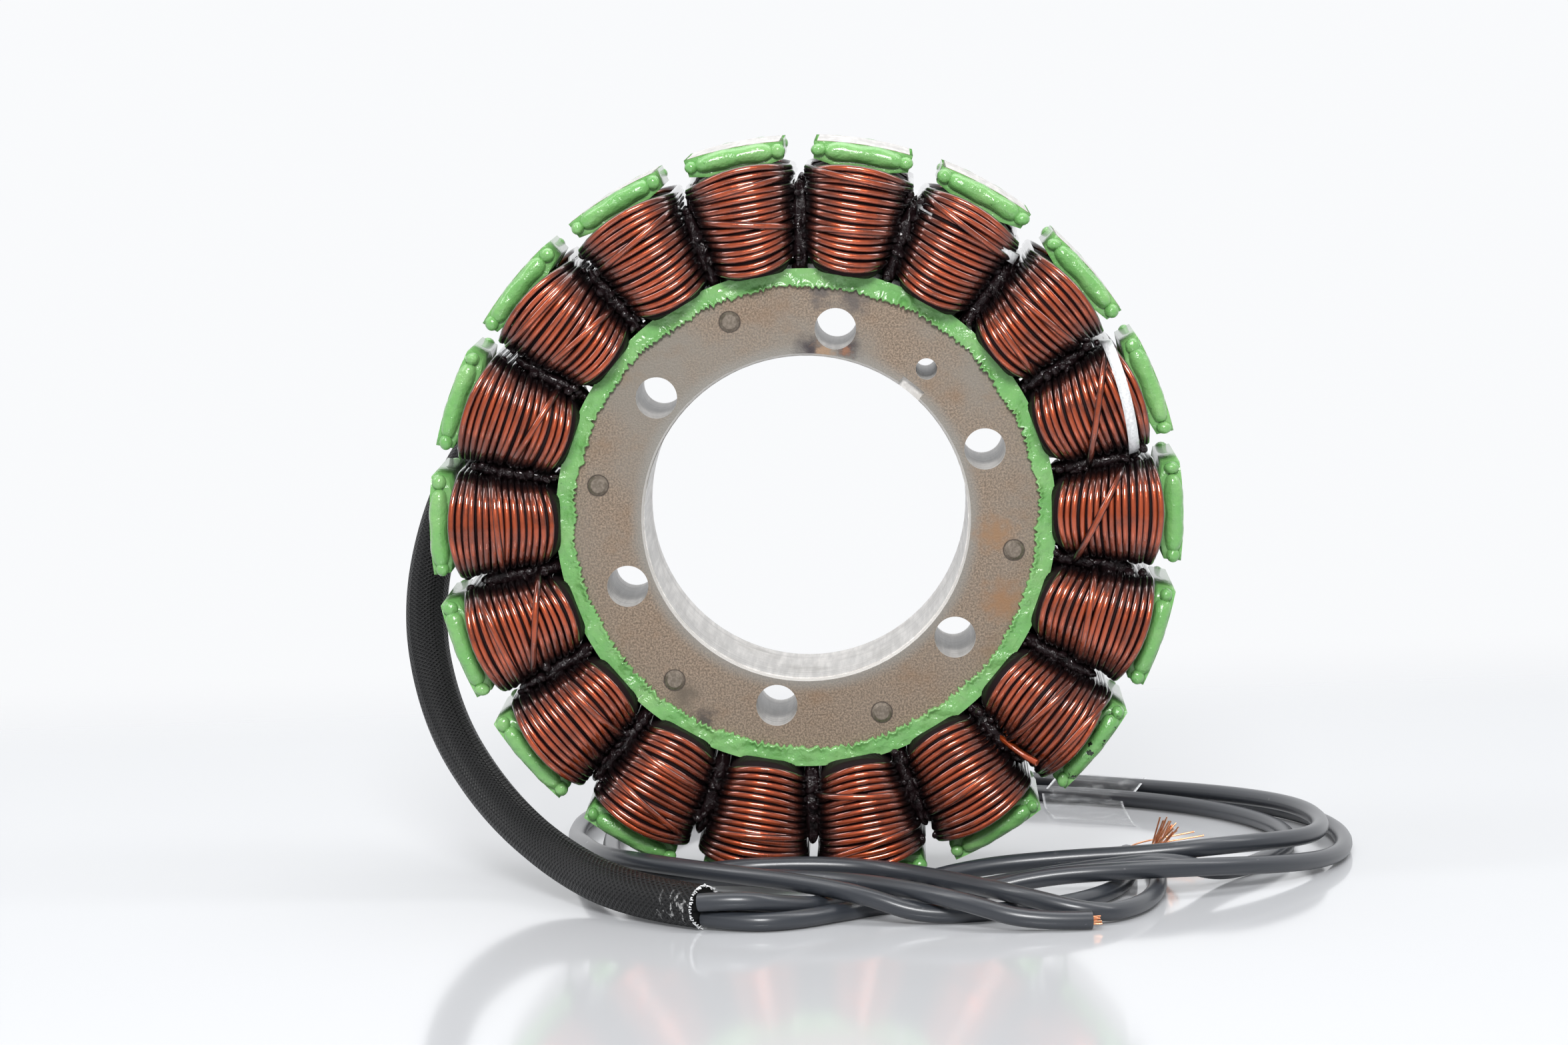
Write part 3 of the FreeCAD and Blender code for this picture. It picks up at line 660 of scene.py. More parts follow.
def plate_finish(tree):
    """Tarnished steel face of fine grain, greyer above and at the bore, with rust, and ground walls."""
    brown = settings().plate_colour
    place = place_of(tree)
    grain = mottle(tree, scale=3200.0, low=0.36, high=0.66)
    base = mixed(tree, grain, shaded(brown, 0.62), shaded(brown, 1.36))
    upper = ranged(tree, split(tree, place)["Z"], -34.0 * MM, 30.0 * MM, 0.15, 0.95, "LINEAR")
    greyed = calculated(tree, "MULTIPLY", mottle(tree, scale=60.0, low=0.35, high=0.68), upper)
    base = mixed(tree, greyed, base, PLATE_GREY)
    rust = mottle(tree, scale=95.0, low=0.52, high=0.75, stretch=(1.0, 1.0, 1.3))
    base = mixed(tree, rust, base, RUST_FILM, most=0.45)
    flat = vector_sum(tree, "MULTIPLY", place, (1.0, 0.0, 1.0))[0]
    near_bore = ranged(tree, vector_sum(tree, "LENGTH", flat)["Value"], 28.6 * MM, 26.2 * MM)
    base = mixed(tree, near_bore, base, BORE_GREY, most=0.75)
    base = mixed(tree, mottle(tree, scale=1900.0, low=0.68, high=0.74), base, SPECK)
    base = plate_marks(tree, base)
    normal = node(tree, "ShaderNodeNewGeometry", {}).outputs["Normal"]
    facing = calculated(tree, "ABSOLUTE", split(tree, normal)["Y"])
    wall = ranged(tree, facing, 0.95, 0.6, curve="LINEAR")
    return {
        "Base Color": mixed(tree, wall, base, settings().ground_colour), "Metallic": 0.35, "Roughness": 0.5,
        "Normal": bumped(tree, grain, distance=0.02 * MM, strength=0.8),
    }


def core_finish(tree):
    """Ground laminations: fine lines across the bore's axis, hatch marks along it, and dull clouds."""
    grey = settings().ground_colour
    hatch = mottle(tree, scale=900.0, low=0.35, high=0.7, stretch=(1.0, 0.06, 1.0))
    base = mixed(tree, hatch, shaded(grey, 0.72), grey)
    sheets = mottle(tree, scale=1200.0, low=0.5, high=0.66, stretch=(0.01, 1.0, 0.01))
    base = mixed(tree, sheets, base, SHEET_GAP, most=0.4)
    base = mixed(tree, mottle(tree, scale=140.0, low=0.45, high=0.75), base, DULL_STEEL, most=0.5)
    return {
        "Base Color": base, "Metallic": 0.1, "Roughness": 0.34,
        "Normal": bumped(tree, hatch, distance=0.03 * MM, strength=0.5),
    }


def rivet_finish(tree):
    """Dull steel rivet heads, a little cleaner than the plate."""
    base = mixed(tree, mottle(tree, scale=2200.0, low=0.35, high=0.7), RIVET_DARK, RIVET_LIGHT)
    return {"Base Color": base, "Metallic": 0.45, "Roughness": 0.42}


def jacket_finish(tree):
    """Blue-grey rubbery jacket with lengthwise drawing lines, on the cord's own map, and pale scuffs."""
    grey = settings().jacket_colour
    drawn = vector_sum(tree, "MULTIPLY", place_of(tree, "UV"), (2.0, 26.0, 1.0))[0]
    lines = noise(tree, drawn, 1.0, 3.0)
    base = mixed(tree, lines, shaded(grey, 0.75), shaded(grey, 1.35))
    scuffs = mottle(tree, scale=330.0, low=0.69, high=0.8, stretch=(1.0, 1.0, 3.0))
    return {
        "Base Color": mixed(tree, scuffs, base, SCUFF, most=0.55), "Roughness": 0.4, "Coat Weight": 0.5,
        "Coat Roughness": 0.22, "Normal": bumped(tree, lines, distance=0.06 * MM, strength=0.5),
    }


def weave_height(tree, ribs_along, ribs_round):
    """Oblique ribs both ways on the cord's own map: the larger sine of (along plus or minus round)."""
    place = split(tree, place_of(tree, "UV"))
    along = calculated(tree, "MULTIPLY", place["X"], ribs_along * 2.0 * math.pi)
    ribs = []
    for way in (1.0, -1.0):
        phase = calculated(tree, "MULTIPLY_ADD", place["Y"], way * ribs_round * 2.0 * math.pi, along)
        ribs.append(calculated(tree, "SINE", phase))
    return calculated(tree, "MAXIMUM", *ribs)


def sleeve_finish(tree):
    """Black varnished weave of oblique ribs, painted lighter on the ribs and darker between them as light and
    shade, with a few pale scratches and a chalky mouth.
    """
    black = settings().sleeve_colour
    height = weave_height(tree, SLEEVE_LENGTH / RIB_PITCH, RIBS_ROUND)
    # Painted light on the ribs and painted shade in the grooves between them.
    lifted = ranged(tree, height, -0.4, 1.0, curve="LINEAR")
    base = mixed(tree, lifted, shaded(black, 0.4), shaded(black, 1.9))
    scratches = mottle(tree, scale=500.0, low=0.74, high=0.78, stretch=(1.0, 1.0, 3.0))
    base = mixed(tree, scratches, base, SCRATCH)
    end_x, _, end_rise = SLEEVE_ROUTE[-1]
    mouth = spot(tree, (end_x - 4.5) * MM, FLOOR_Z + end_rise * MM, radius=3.5 * MM, core=1.5 * MM,
                 ragged=3.0 * MM)
    chalk = mottle(tree, scale=1100.0, low=0.56, high=0.62, stretch=(1.0, 1.0, 0.5))
    base = mixed(tree, calculated(tree, "MULTIPLY", mouth, chalk), base, CHALK)
    return {
        "Base Color": base, "Roughness": 0.42, "Specular IOR Level": 0.3,
        "Normal": bumped(tree, height, distance=0.14 * MM, strength=0.9),
    }


def shrink_finish(tree):
    """Smooth black shrink sleeve over a joint."""
    lumps = mottle(tree, scale=300.0, low=0.3, high=0.7)
    return {
        "Base Color": SHRINK_BLACK, "Roughness": 0.38,
        "Normal": bumped(tree, lumps, distance=0.2 * MM, strength=0.5),
    }


def tape_finish(tree):
    """White woven lacing tape under varnish."""
    threads = mottle(tree, scale=2600.0, low=0.3, high=0.7, stretch=(1.0, 0.25, 1.0))
    return {
        "Base Color": mixed(tree, threads, TAPE_GREY, TAPE_WHITE), "Roughness": 0.3, "Coat Weight": 0.6,
        "Normal": bumped(tree, threads, distance=0.06 * MM, strength=0.6),
    }


def copper_finish(tree):
    """Bare bright copper strands."""
    base = mixed(tree, mottle(tree, scale=1500.0, low=0.3, high=0.7), COPPER_DEEP, COPPER_BRIGHT)
    return {"Base Color": base, "Metallic": 1.0, "Roughness": 0.28}


def film_finish(tree):
    """Clear glossy film, faintly hazy, with painted reflection at its creases and most of all at its edges.
    """
    creases = mottle(tree, scale=330.0, low=0.42, high=0.8, stretch=(1.0, 1.0, 2.5))
    # Faint haze of the film, with painted reflection on its creases.
    haze_and_crease_glints = calculated(tree, "MULTIPLY_ADD", creases, 0.26, 0.07)
    return {
        "Base Color": FILM_CLEAR, "Roughness": 0.06,
        # Painted reflection along the film's edges.
        "Alpha": calculated(tree, "MULTIPLY_ADD", own_mask(tree, "edge"), 0.8, haze_and_crease_glints),
        "Normal": bumped(tree, creases, distance=0.3 * MM, strength=0.8),
    }


def fibre_finish(tree):
    """Frayed white glass fibres at the sleeve's cut end."""
    return {"Base Color": FIBRE_WHITE, "Roughness": 0.5}


FINISHES = {
    "enamelled_copper": enamel_finish, "varnish_and_slot_shade": varnish_finish, "varnish_and_depth_shade": varnish_and_depth_shade_finish,
    "green_resin": coat_finish, "plate_steel": plate_finish, "lamination_steel": core_finish,
    "rivet_steel": rivet_finish, "lead_jacket": jacket_finish, "woven_sleeve": sleeve_finish,
    "shrink_sleeve": shrink_finish, "lacing_tape": tape_finish, "bare_copper": copper_finish,
    "clear_film": film_finish, "glass_fibre": fibre_finish,
}


def new_material(name, finish):
    """A material whose shader gets the inputs that the finish works out in its node tree."""
    material = bpy.data.materials.new(name)
    material.use_nodes = True
    tree = material.node_tree
    filled(tree, tree.nodes["Principled BSDF"], finish(tree))
    return material


def finish_of(name):
    """The material of that name, made the first time it is asked for."""
    own_name = "finish_" + name
    return bpy.data.materials.get(own_name) or new_material(own_name, FINISHES[name])


def dress(names, finish):
    """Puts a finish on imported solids, whose meshes stay as they are."""
    for name in names:
        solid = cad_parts[name]
        solid.data.materials.clear()
        solid.data.materials.append(finish_of(finish))


# Coils.

def turn_loop(out, half, depth, rise, lean):
    """Closed loops round a tooth, one for each turn, as (out, y, across), and how far across each point lies.

    At each end the loop is half of a superellipse: across is half times the sine to a power, and y runs out
    by depth times the cosine to the same power. Between the ends it is straight. The loop rises away from
    the bore by rise times the square of (across over half), and leans by lean times (across over half).
    """
    turn = np.linspace(-math.pi / 2.0, math.pi / 2.0, END_STEPS)
    power = 2.0 / END_SQUARENESS
    across = np.sign(np.sin(turn)) * np.abs(np.sin(turn)) ** power
    run = np.abs(np.cos(turn)) ** power
    sides = np.array([0.5, 0.0, -0.5])
    on_end, on_side, none = np.ones(END_STEPS), np.ones(len(sides)), np.zeros(len(sides))
    share_across = np.concatenate([across, on_side, across[::-1], -on_side])
    end = np.concatenate([-on_end, none, on_end, none])
    straight = np.concatenate([-on_end, -sides, on_end, sides])
    bow = np.concatenate([run, none, run[::-1], none])
    y = COIL_MID_Y + straight[None] * STRAIGHT_HALF + end[None] * bow[None] * depth[:, None]
    t = half[:, None] * share_across[None]
    risen = out[:, None] + rise[:, None] * share_across[None] ** 2
    r = risen + lean[:, None] * share_across[None] * -end[None]
    return np.stack([r, y, t], axis=-1), np.broadcast_to(np.abs(share_across)[None], t.shape)


def coil_profile(share):
    """Half width of a coil at a share of the way out along the tooth."""
    return COIL_INNER_HALF + (WOUND_HALF - COIL_INNER_HALF) * share ** 0.9


def turn_rise(share):
    """How much farther out a turn lies in the slots than on the ends: most at the yoke, least at the shoe."""
    return TURN_RISE * (1.0 - share) ** 1.4 - (TURN_FALL + END_TOP_R - COIL_TOP_R) * share ** 4


def one_coil(number, wire_r, turns, stray):
    """Corners, faces and masks of the wire turns on one tooth.

    The side mask, of painted shade, grows towards the coil's sides. The valley mask, of painted shade between
    the turns, is the size of the sine of the angle round the wire: 0 on its crest and 1 where it meets the
    next turn.
    """
    rng = np.random.default_rng(400 + number)
    share = (np.arange(turns) + 0.5) / turns
    out = COIL_FLOOR_R + wire_r + (END_TOP_R - COIL_FLOOR_R - 2.0 * wire_r) * share
    out = out + rng.uniform(-STRAY_OUT, STRAY_OUT, turns) * stray
    half = coil_profile(share) - wire_r - rng.uniform(0.0, STRAY_WIDTH, turns) * stray
    depth = END_DEPTH - wire_r - rng.uniform(0.0, STRAY_DEPTH, turns) * stray
    wander = np.convolve(rng.uniform(-1.0, 1.0, turns + 4), np.ones(5) / 5.0, mode="valid")
    loops, side = turn_loop(out, half, depth, turn_rise(share), wander * stray * STRAY_LEAN)
    for ends in CROSSED[number]:
        over, over_side = crossing_turn(ends, out, half, depth, wire_r)
        loops = np.concatenate([loops, over])
        side = np.concatenate([side, over_side])
    corners, faces = tubes(loops, wire_r)
    # Painted shade that grows towards the coil's sides.
    side = np.clip((side - SIDE_SHADE_START) / SIDE_SHADE_GROWTH, 0.0, 1.0) ** SIDE_SHADE_POWER
    side = np.repeat(side.ravel(), WIRE_SIDES)
    round_wire = np.linspace(0.0, 2.0 * math.pi, WIRE_SIDES, endpoint=False)
    # Painted shade between the turns: 0 on a wire's crest, 1 where it meets the next.
    valley = np.tile(np.abs(np.sin(round_wire)), loops.shape[0] * loops.shape[1])
    return corners, faces, {"side": side, "valley": valley}


def crossing_turn(ends, out, half, depth, wire_r):
    """A last turn that rides over the layer, from one turn's place to another's."""
    first, last = np.minimum(ends, len(out) - 1)
    passed = slice(min(first, last), max(first, last) + 1)
    middle = np.array([(out[first] + out[last]) / 2.0])
    lean = np.array([(out[last] - out[first]) / 2.0])
    widest = np.array([max(half[passed]) + CROSSING_SPREAD * wire_r])
    deepest = min(max(depth[passed]) + CROSSING_LIFT * wire_r, END_DEPTH - CROSSING_LIMIT * wire_r)
    return turn_loop(middle, widest, np.array([deepest]), np.zeros(1), lean)


def coil_core():
    """The layers under the wire, dark as varnish and as painted shade: one turn's loop, inset, carried out
    along the tooth and closed.
    """
    share = np.linspace(0.0, 1.0, CORE_STEPS)
    out = COIL_FLOOR_R + CORE_START + (END_TOP_R - COIL_FLOOR_R - CORE_SHORTER) * share
    inset = settings().wire_diameter / 2.0 + CORE_INSET
    depth = np.full(CORE_STEPS, END_DEPTH - inset)
    outer, _ = turn_loop(out, coil_profile(share) - inset, depth, turn_rise(share), np.zeros(CORE_STEPS))
    inner_out = np.array([COIL_TOP_R, COIL_FLOOR_R])
    hole = np.full(2, STEM_HALF + CORE_HOLE_GAP)
    inner, _ = turn_loop(inner_out, hole, np.full(2, CORE_HOLE_DEPTH), np.zeros(2), np.zeros(2))
    return grid(np.concatenate([outer, inner])[None], wrap_u=True, wrap_v=True)


class MESH_OT_stator_coils(bpy.types.Operator):
    """Winds the eighteen coils turn by turn over their dark inner layers, partly varnish and partly painted
    shade
    """

    bl_idname = "mesh.stator_coils"
    bl_label = "Coils"

    def execute(self, context):
        wire_r = settings().wire_diameter / 2.0
        core_corners, core_faces = coil_core()
        for number in range(1, POLES + 1):
            angle = PITCH * (number - 1)
            name = f"coil_{number:02d}"
            corners, faces, masks = one_coil(number, wire_r, settings().turns, settings().unevenness)
            coil = mesh_piece(name + "_wire", from_tooth(corners, angle), faces,
                              finish_of("enamelled_copper"), masks)
            # The near-black core under the turns is partly varnish and partly painted shade deep between
            # them.
            core = mesh_piece(name + "_core", from_tooth(core_corners, angle), core_faces,
                              finish_of("varnish_and_depth_shade"))
            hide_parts(name)
            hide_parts(name)
        return {"FINISHED"}


def slot_fill(y, way, seed):
    """Near-black fill that closes each slot near a face, partly varnish and partly painted shade deep in the
    slot:
    a long ellipsoid, its skin waving by a sum of sines.

    The ellipsoid's axes are the way across the slot, y, and the slot's outward way.
    """
    rng = np.random.default_rng(seed)
    none = np.zeros(POLES)
    out = polar(1.0, SLOT_ANGLES, 0.0)
    across = np.stack([-np.sin(SLOT_ANGLES), none, np.cos(SLOT_ANGLES)], axis=-1)
    depth = np.broadcast_to((0.0, 1.0, 0.0), out.shape)
    long_half = rng.uniform(0.40, 0.47, POLES) * (COIL_TOP_R - COIL_FLOOR_R)
    sizes = np.stack([none + FILL_HALF_W, none + FILL_HALF_H, long_half], axis=-1)
    centres = polar(COIL_FLOOR_R + long_half - 0.4 * MM, SLOT_ANGLES, y - way * FILL_SINK)
    corners, faces = blobs(centres, np.stack([across, depth, out], axis=1), sizes, 36, 14)
    lumps = ripple(corners[:, 0] / MM * 2.3, 4, 1, 3, rng) + ripple(corners[:, 2] / MM * 2.1, 4, 1, 3, rng)
    corners[:, 1] += way * FILL_LUMP * lumps
    return corners, faces


def slot_drops():
    """Small drops scattered in the slots near both faces: ellipsoids with chance places, axes and sizes."""
    rng = np.random.default_rng(77)
    count = POLES * DROPS_PER_SLOT
    angle = np.repeat(SLOT_ANGLES, DROPS_PER_SLOT) + rng.normal(0.0, 0.012, count)
    share = rng.uniform(0.0, 0.9, count)
    out = COIL_FLOOR_R + (COIL_TOP_R - COIL_FLOOR_R) * share + 0.6 * MM
    angle += rng.choice([-1.0, 1.0], count) * share * 0.025
    rear = rng.random(count) < 0.35
    y = np.where(rear, rng.uniform(0.0, 2.6, count) * MM, PLATE_Y - rng.uniform(-1.0, 2.6, count) * MM)
    way = unit(rng.normal(0.0, 1.0, (count, 3)))
    other = unit(np.cross(way, rng.normal(0.0, 1.0, (count, 3))))
    axes = np.stack([way, other, np.cross(way, other)], axis=1)
    return blobs(polar(out, angle, y), axes, rng.uniform(DROP_SMALLEST, DROP_LARGEST, (count, 3)))


class MESH_OT_stator_varnish(bpy.types.Operator):
    """Closes the slots with a near-black fill, partly varnish and partly painted shade, sets drops of varnish
    there, and leaves one wire end standing out
    """

    bl_idname = "mesh.stator_varnish"
    bl_label = "Varnish"

    def execute(self, context):
        # The slot fills are partly varnish and partly painted shade deep in the slots.
        corners, faces = joined([slot_drops(), slot_fill(PLATE_Y, -1.0, 31), slot_fill(0.0, 1.0, 32)])
        piece = mesh_piece("varnish_drops_and_slot_shade", corners, faces, finish_of("varnish_and_slot_shade"), merge=True)
        end = polar(STRAY_END_R, STRAY_END_ANGLE, STRAY_END_Y)
        stray = curve_piece("stray_wire_end", [end], settings().wire_diameter / 2.0, "enamelled_copper", 3)
        return {"FINISHED"}


# Coat.

def torn_edge(angle, rng):
    """Inner radius of the coat at each angle: a slow wave, a fast wave and short chance tears."""
    slow = ripple(angle, 6, 5, 30, rng) * TEAR_SLOW
    fast = ripple(angle, 14, 90, 340, rng) * TEAR_FAST
    tears = np.clip(rng.normal(0.0, 1.0, len(angle)), -2.0, 2.0)
    wrapped = np.concatenate([tears[-2:], tears, tears[:2]])
    tears = np.convolve(wrapped, (0.2, 0.25, 0.3, 0.25), mode="same")[2:-2]
    return COAT_EDGE_R + slow + fast + tears * TEAR_CHANCE


def coat_ring(y, way, columns, seed):
    """The coat over the yoke's face, from its torn edge out to under the coils.

    The height over the steel climbs at the edge, has a lip that comes and goes round the ring, and then waves
    gently; near one angle it has a dimple with a rim.
    """
    rng = np.random.default_rng(seed)
    angle = np.linspace(0.0, 2.0 * math.pi, columns, endpoint=False)
    inner = torn_edge(angle, rng)
    outer = SLOT_FLOOR_R + 0.9 * MM
    share = np.array([0.0, 0.0, 0.02, 0.05, 0.09, 0.14, 0.2, 0.27, 0.35, 0.43, 0.52, 0.62, 0.73, 0.86, 1.0])
    radius = inner[:, None] + (outer - inner)[:, None] * share[None]
    climb = np.ones(len(share))
    climb[:4] = (0.0, 0.35, 0.75, 0.95)
    lip = np.clip(ripple(angle, 10, 9, 60, rng) * 0.5 + 0.45, 0.0, 1.4)[:, None]
    lip = lip * bump_at(share - 0.1, 0.1)[None]
    wave = np.zeros_like(radius)
    for middle in (0.25, 0.5, 0.8):
        wave += ripple(angle, 5, 14, 70, rng)[:, None] * bump_at(share - middle, 0.2)[None]
    height = COAT_FACE * climb[None] + LIP_RISE * lip + WAVE_RISE * wave * (share > 0.08)[None]
    dimple_x, dimple_z = face_point(DIMPLE_R, DIMPLE_ANGLE)
    gap = np.hypot(radius * np.cos(angle)[:, None] - dimple_x, radius * np.sin(angle)[:, None] - dimple_z)
    height += DIMPLE_RIM_RISE * bump_at(gap - DIMPLE_RIM_R, DIMPLE_RIM_W)
    height -= DIMPLE_DEPTH * bump_at(gap, DIMPLE_W)
    points = polar(radius, angle[:, None], y + way * height)[None]
    return grid(points, wrap_u=True, flip=way > 0.0)


def slot_walls():
    """The coat in each slot: the slot's outline carried along the axis from face to face."""
    root = math.sqrt(SLOT_FLOOR_R ** 2 - STEM_HALF ** 2)
    corner_angle = math.asin(STEM_HALF / SLOT_FLOOR_R)
    stem = NECK_R + (root - NECK_R) * np.linspace(0.0, 1.0, 5)
    side_r = np.concatenate([[COAT_OUTER_R, SHOE_END_R], np.hypot(stem, STEM_HALF)])
    side_a = np.concatenate([[SHOE_HALF_ANGLE] * 2, np.arctan2(STEM_HALF, stem)])
    floor_a = np.linspace(corner_angle, PITCH - corner_angle, 7)[1:-1]
    r = np.concatenate([side_r, np.full(len(floor_a), SLOT_FLOOR_R), side_r[::-1]])
    a = np.concatenate([side_a, floor_a, PITCH - side_a[::-1]])
    y = np.array([PLATE_Y - COAT_FACE, PLATE_Y / 2.0, COAT_FACE])
    points = polar(r[None, :, None], a[None, :, None] + TOOTH_ANGLES[:, None, None], y[None, None, :])
    return grid(points, flip=True)


def tooth_faces(y, flip):
    """The coat on the flat ends of the teeth: rows across the stem, the neck and the shoe."""
    r = np.array([SLOT_FLOOR_R - 0.4 * MM, NECK_R, SHOE_END_R, COAT_OUTER_R])
    half = np.append(np.arcsin(STEM_HALF / r[:2]), [SHOE_HALF_ANGLE] * 2)
    across = np.linspace(-1.0, 1.0, 9)
    angle = TOOTH_ANGLES[:, None, None] + half[None, :, None] * across[None, None, :]
    return grid(polar(r[None, :, None], angle, y), flip=flip)


def tip_beads(y, way, seed):
    """Thick rounded beads along the shoes: an ellipse, carried along an arc and drawn in at both ends.

    The ellipse shrinks by the square root of one minus the eighth power of the share along the bead. A small
    separate blob sits at each end.
    """
    rng = np.random.default_rng(seed)
    share = np.sin(np.linspace(-math.pi / 2.0, math.pi / 2.0, 25))
    shrink = np.sqrt(np.clip(1.0 - share ** 8, 0.0, 1.0))
    turn = np.linspace(0.0, 2.0 * math.pi, 14, endpoint=False)
    swell = 1.0 + BEAD_SWELL * np.sin(share[None] * 7.0 + rng.uniform(0.0, 6.0, (POLES, 1)))
    shift = rng.normal(0.0, 0.25, (POLES, 1)) * DEG
    angle = TOOTH_ANGLES[:, None] + shift + BEAD_HALF_ANGLE * share[None]
    width = (BEAD_HALF_W * shrink[None] * swell)[:, :, None]
    rise = (BEAD_RISE * shrink[None] * (2.0 - swell))[:, :, None]
    r = BEAD_R + width * np.cos(turn)[None, None]
    height = rise * np.sin(turn)[None, None]
    bars = grid(polar(r, angle[:, :, None], y + way * height), wrap_v=True, flip=way > 0.0)
    ends = np.repeat(TOOTH_ANGLES, 2) + np.tile([-1.0, 1.0], POLES) * (SHOE_HALF_ANGLE - 0.75 * DEG)
    centres = polar(BEAD_R + 0.1 * MM + rng.normal(0.0, 0.06, 2 * POLES) * MM, ends, y + way * 0.2 * MM)
    sizes = rng.uniform(BEAD_END_SMALLEST, BEAD_END_LARGEST, (2 * POLES, 3))
    axes = np.broadcast_to(np.eye(3), (2 * POLES, 3, 3))
    return [bars, blobs(centres, axes, sizes, 9, 12)]


class MESH_OT_stator_coat(bpy.types.Operator):
    """Pours the resin coat: torn rings on both faces, slot walls, tooth faces and the beads on the shoes"""

    bl_idname = "mesh.stator_coat"
    bl_label = "Coat"

    def execute(self, context):
        front, rear = PLATE_Y - COAT_FACE, COAT_FACE
        parts = [
            coat_ring(PLATE_Y, -1.0, 1800, 11), coat_ring(0.0, 1.0, 900, 12), slot_walls(),
            tooth_faces(front, False), tooth_faces(rear, True),
        ]
        parts += tip_beads(front, -1.0, 21) + tip_beads(rear, 1.0, 22)
        corners, faces = joined(parts)
        coat = mesh_piece("coat", corners, faces, finish_of("green_resin"), merge=True)
        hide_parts("insulation_coat")
        return {"FINISHED"}


class MESH_OT_stator_core(bpy.types.Operator):
    """Finishes the laminations, the end plate and the rivets"""

    bl_idname = "mesh.stator_core"
    bl_label = "Core"

    def execute(self, context):
        dress(("lamination_stack",), "lamination_steel")
        dress(("front_end_plate",), "plate_steel")
        dress(("rivets",), "rivet_steel")
        return {"FINISHED"}


def tie_band(number, out, lean, lift, shift):
    """A flat tie round one coil: a turn's loop, lifted off the wire, with an oblong carried along it.

    The oblong's long side points out along the tooth and its short side across the loop. The whole band is
    shifted across the tooth, so that it shows more on one side of the coil.
    """
    share = (out - COIL_FLOOR_R) / (END_TOP_R - COIL_FLOOR_R)
    half = np.array([coil_profile(share) + TIE_T / 2.0])
    path, _ = turn_loop(np.array([out]), half, np.array([END_DEPTH + lift]), np.array([turn_rise(share)]),
                        np.array([lean]))
    path[..., 2] += shift
    _, side = beside(path)
    long_side = np.array([-1.0, 0.0, 1.0, 1.0, 0.0, -1.0])[:, None] * (TIE_W / 2.0) * OUTWARD
    short_side = np.array([-1.0, -1.2, -1.0, 1.0, 1.2, 1.0])[:, None] * (TIE_T / 2.0) * side[:, :, None]
    corners, faces = grid(path[:, :, None] + long_side - short_side, wrap_u=True, wrap_v=True)
    return from_tooth(corners, PITCH * (number - 1)), faces


def tape_wrap():
    """Film round two leads: a stadium carried along them, its ends slanting with height, and a loose tail.

    The last array returned is the mask of the painted reflection on the film's edges: 1 on the wrap, 0.55 on
    the tail and 0 inside.
    """
    runs = [route_points(route)[first:first + 2] for route, first in TAPE_RUNS]
    near, far = runs[0].mean(axis=0), runs[1].mean(axis=0)
    along = unit(runs[0][1] - runs[0][0])
    across = (far - near) - along * np.dot(far - near, along)
    reach = np.linalg.norm(across)
    across = across / reach
    up = np.cross(along, across)
    up = up * np.sign(up[2])
    r = LEAD_D / 2.0 + TAPE_GAP
    turn = np.linspace(-math.pi / 2.0, math.pi / 2.0, 9)
    sideways = np.concatenate([reach + r * np.cos(turn), -r * np.cos(turn)])
    height = np.concatenate([r * np.sin(turn), -r * np.sin(turn)])
    u = TAPE_ROWS[:, None] * TAPE_W / 2.0 - (height[None] / r) * TAPE_SLANT
    wrap = near + u[..., None] * along + sideways[None, :, None] * across + height[None, :, None] * up
    tail, tail_edge_glint = tape_tail(near - across * r * 0.9, along)
    corners, faces = joined([grid(wrap[None], wrap_v=True), grid(tail[None])])
    edge = np.concatenate([np.broadcast_to(TAPE_EDGE_GLINTS[:, None], u.shape).ravel(), tail_edge_glint.ravel()])
    return corners, faces, edge


def tape_tail(start, along):
    """The film's loose tail: rows carried to the front, falling by a cube and waving a little."""
    share = np.linspace(0.0, 1.0, 12)[None]
    u = TAPE_ROWS[:, None] * TAPE_W * 0.46 + 0.8 * MM * np.sin(share * 2.0)
    tail = start + u[..., None] * along + (share * TAPE_TAIL)[..., None] * unit(TAPE_TAIL_WAY)
    wavy = 0.5 + 0.5 * np.sin(share * 7.0 + TAPE_ROWS[:, None] * 2.0)
    tail[..., 2] = FLOOR_Z + (0.15 + 0.5 * wavy + 1.2 * (1.0 - share) ** 3) * MM
    # Painted reflection on the tail's edges and at its tip.
    return tail, np.maximum(TAPE_EDGE_GLINTS[:, None], share > 0.95) * 0.55


class MESH_OT_stator_tape(bpy.types.Operator):
    """Wraps the clear tape round two of the leads and ties the two lacing tapes"""

    bl_idname = "mesh.stator_tape"
    bl_label = "Tape and ties"

    def execute(self, context):
        corners, faces, edge = tape_wrap()
        film = mesh_piece("tape_film", corners, faces, finish_of("clear_film"), {"edge": edge})
        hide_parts("clear_tape")
        for name, *place in TIES:
            tie = mesh_piece(name + "_band", *tie_band(*place), finish_of("lacing_tape"))
            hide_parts(name)
        return {"FINISHED"}


class MESH_OT_stator_rear(bpy.types.Operator):
    """Finishes the crossover wires and the sleeved joints"""

    bl_idname = "mesh.stator_rear"
    bl_label = "Crossovers and joints"

    def execute(self, context):
        dress(("crossover_a", "crossover_b", "crossover_c"), "enamelled_copper")
        dress(("splice_sleeve_a", "splice_sleeve_b", "splice_sleeve_c", "star_point_sleeve"), "shrink_sleeve")
        return {"FINISHED"}


# Leads.

def route_points(route):
    """A route in metres, its heights counted from the floor."""
    points = np.array(route) * MM
    points[:, 2] += FLOOR_Z
    return points


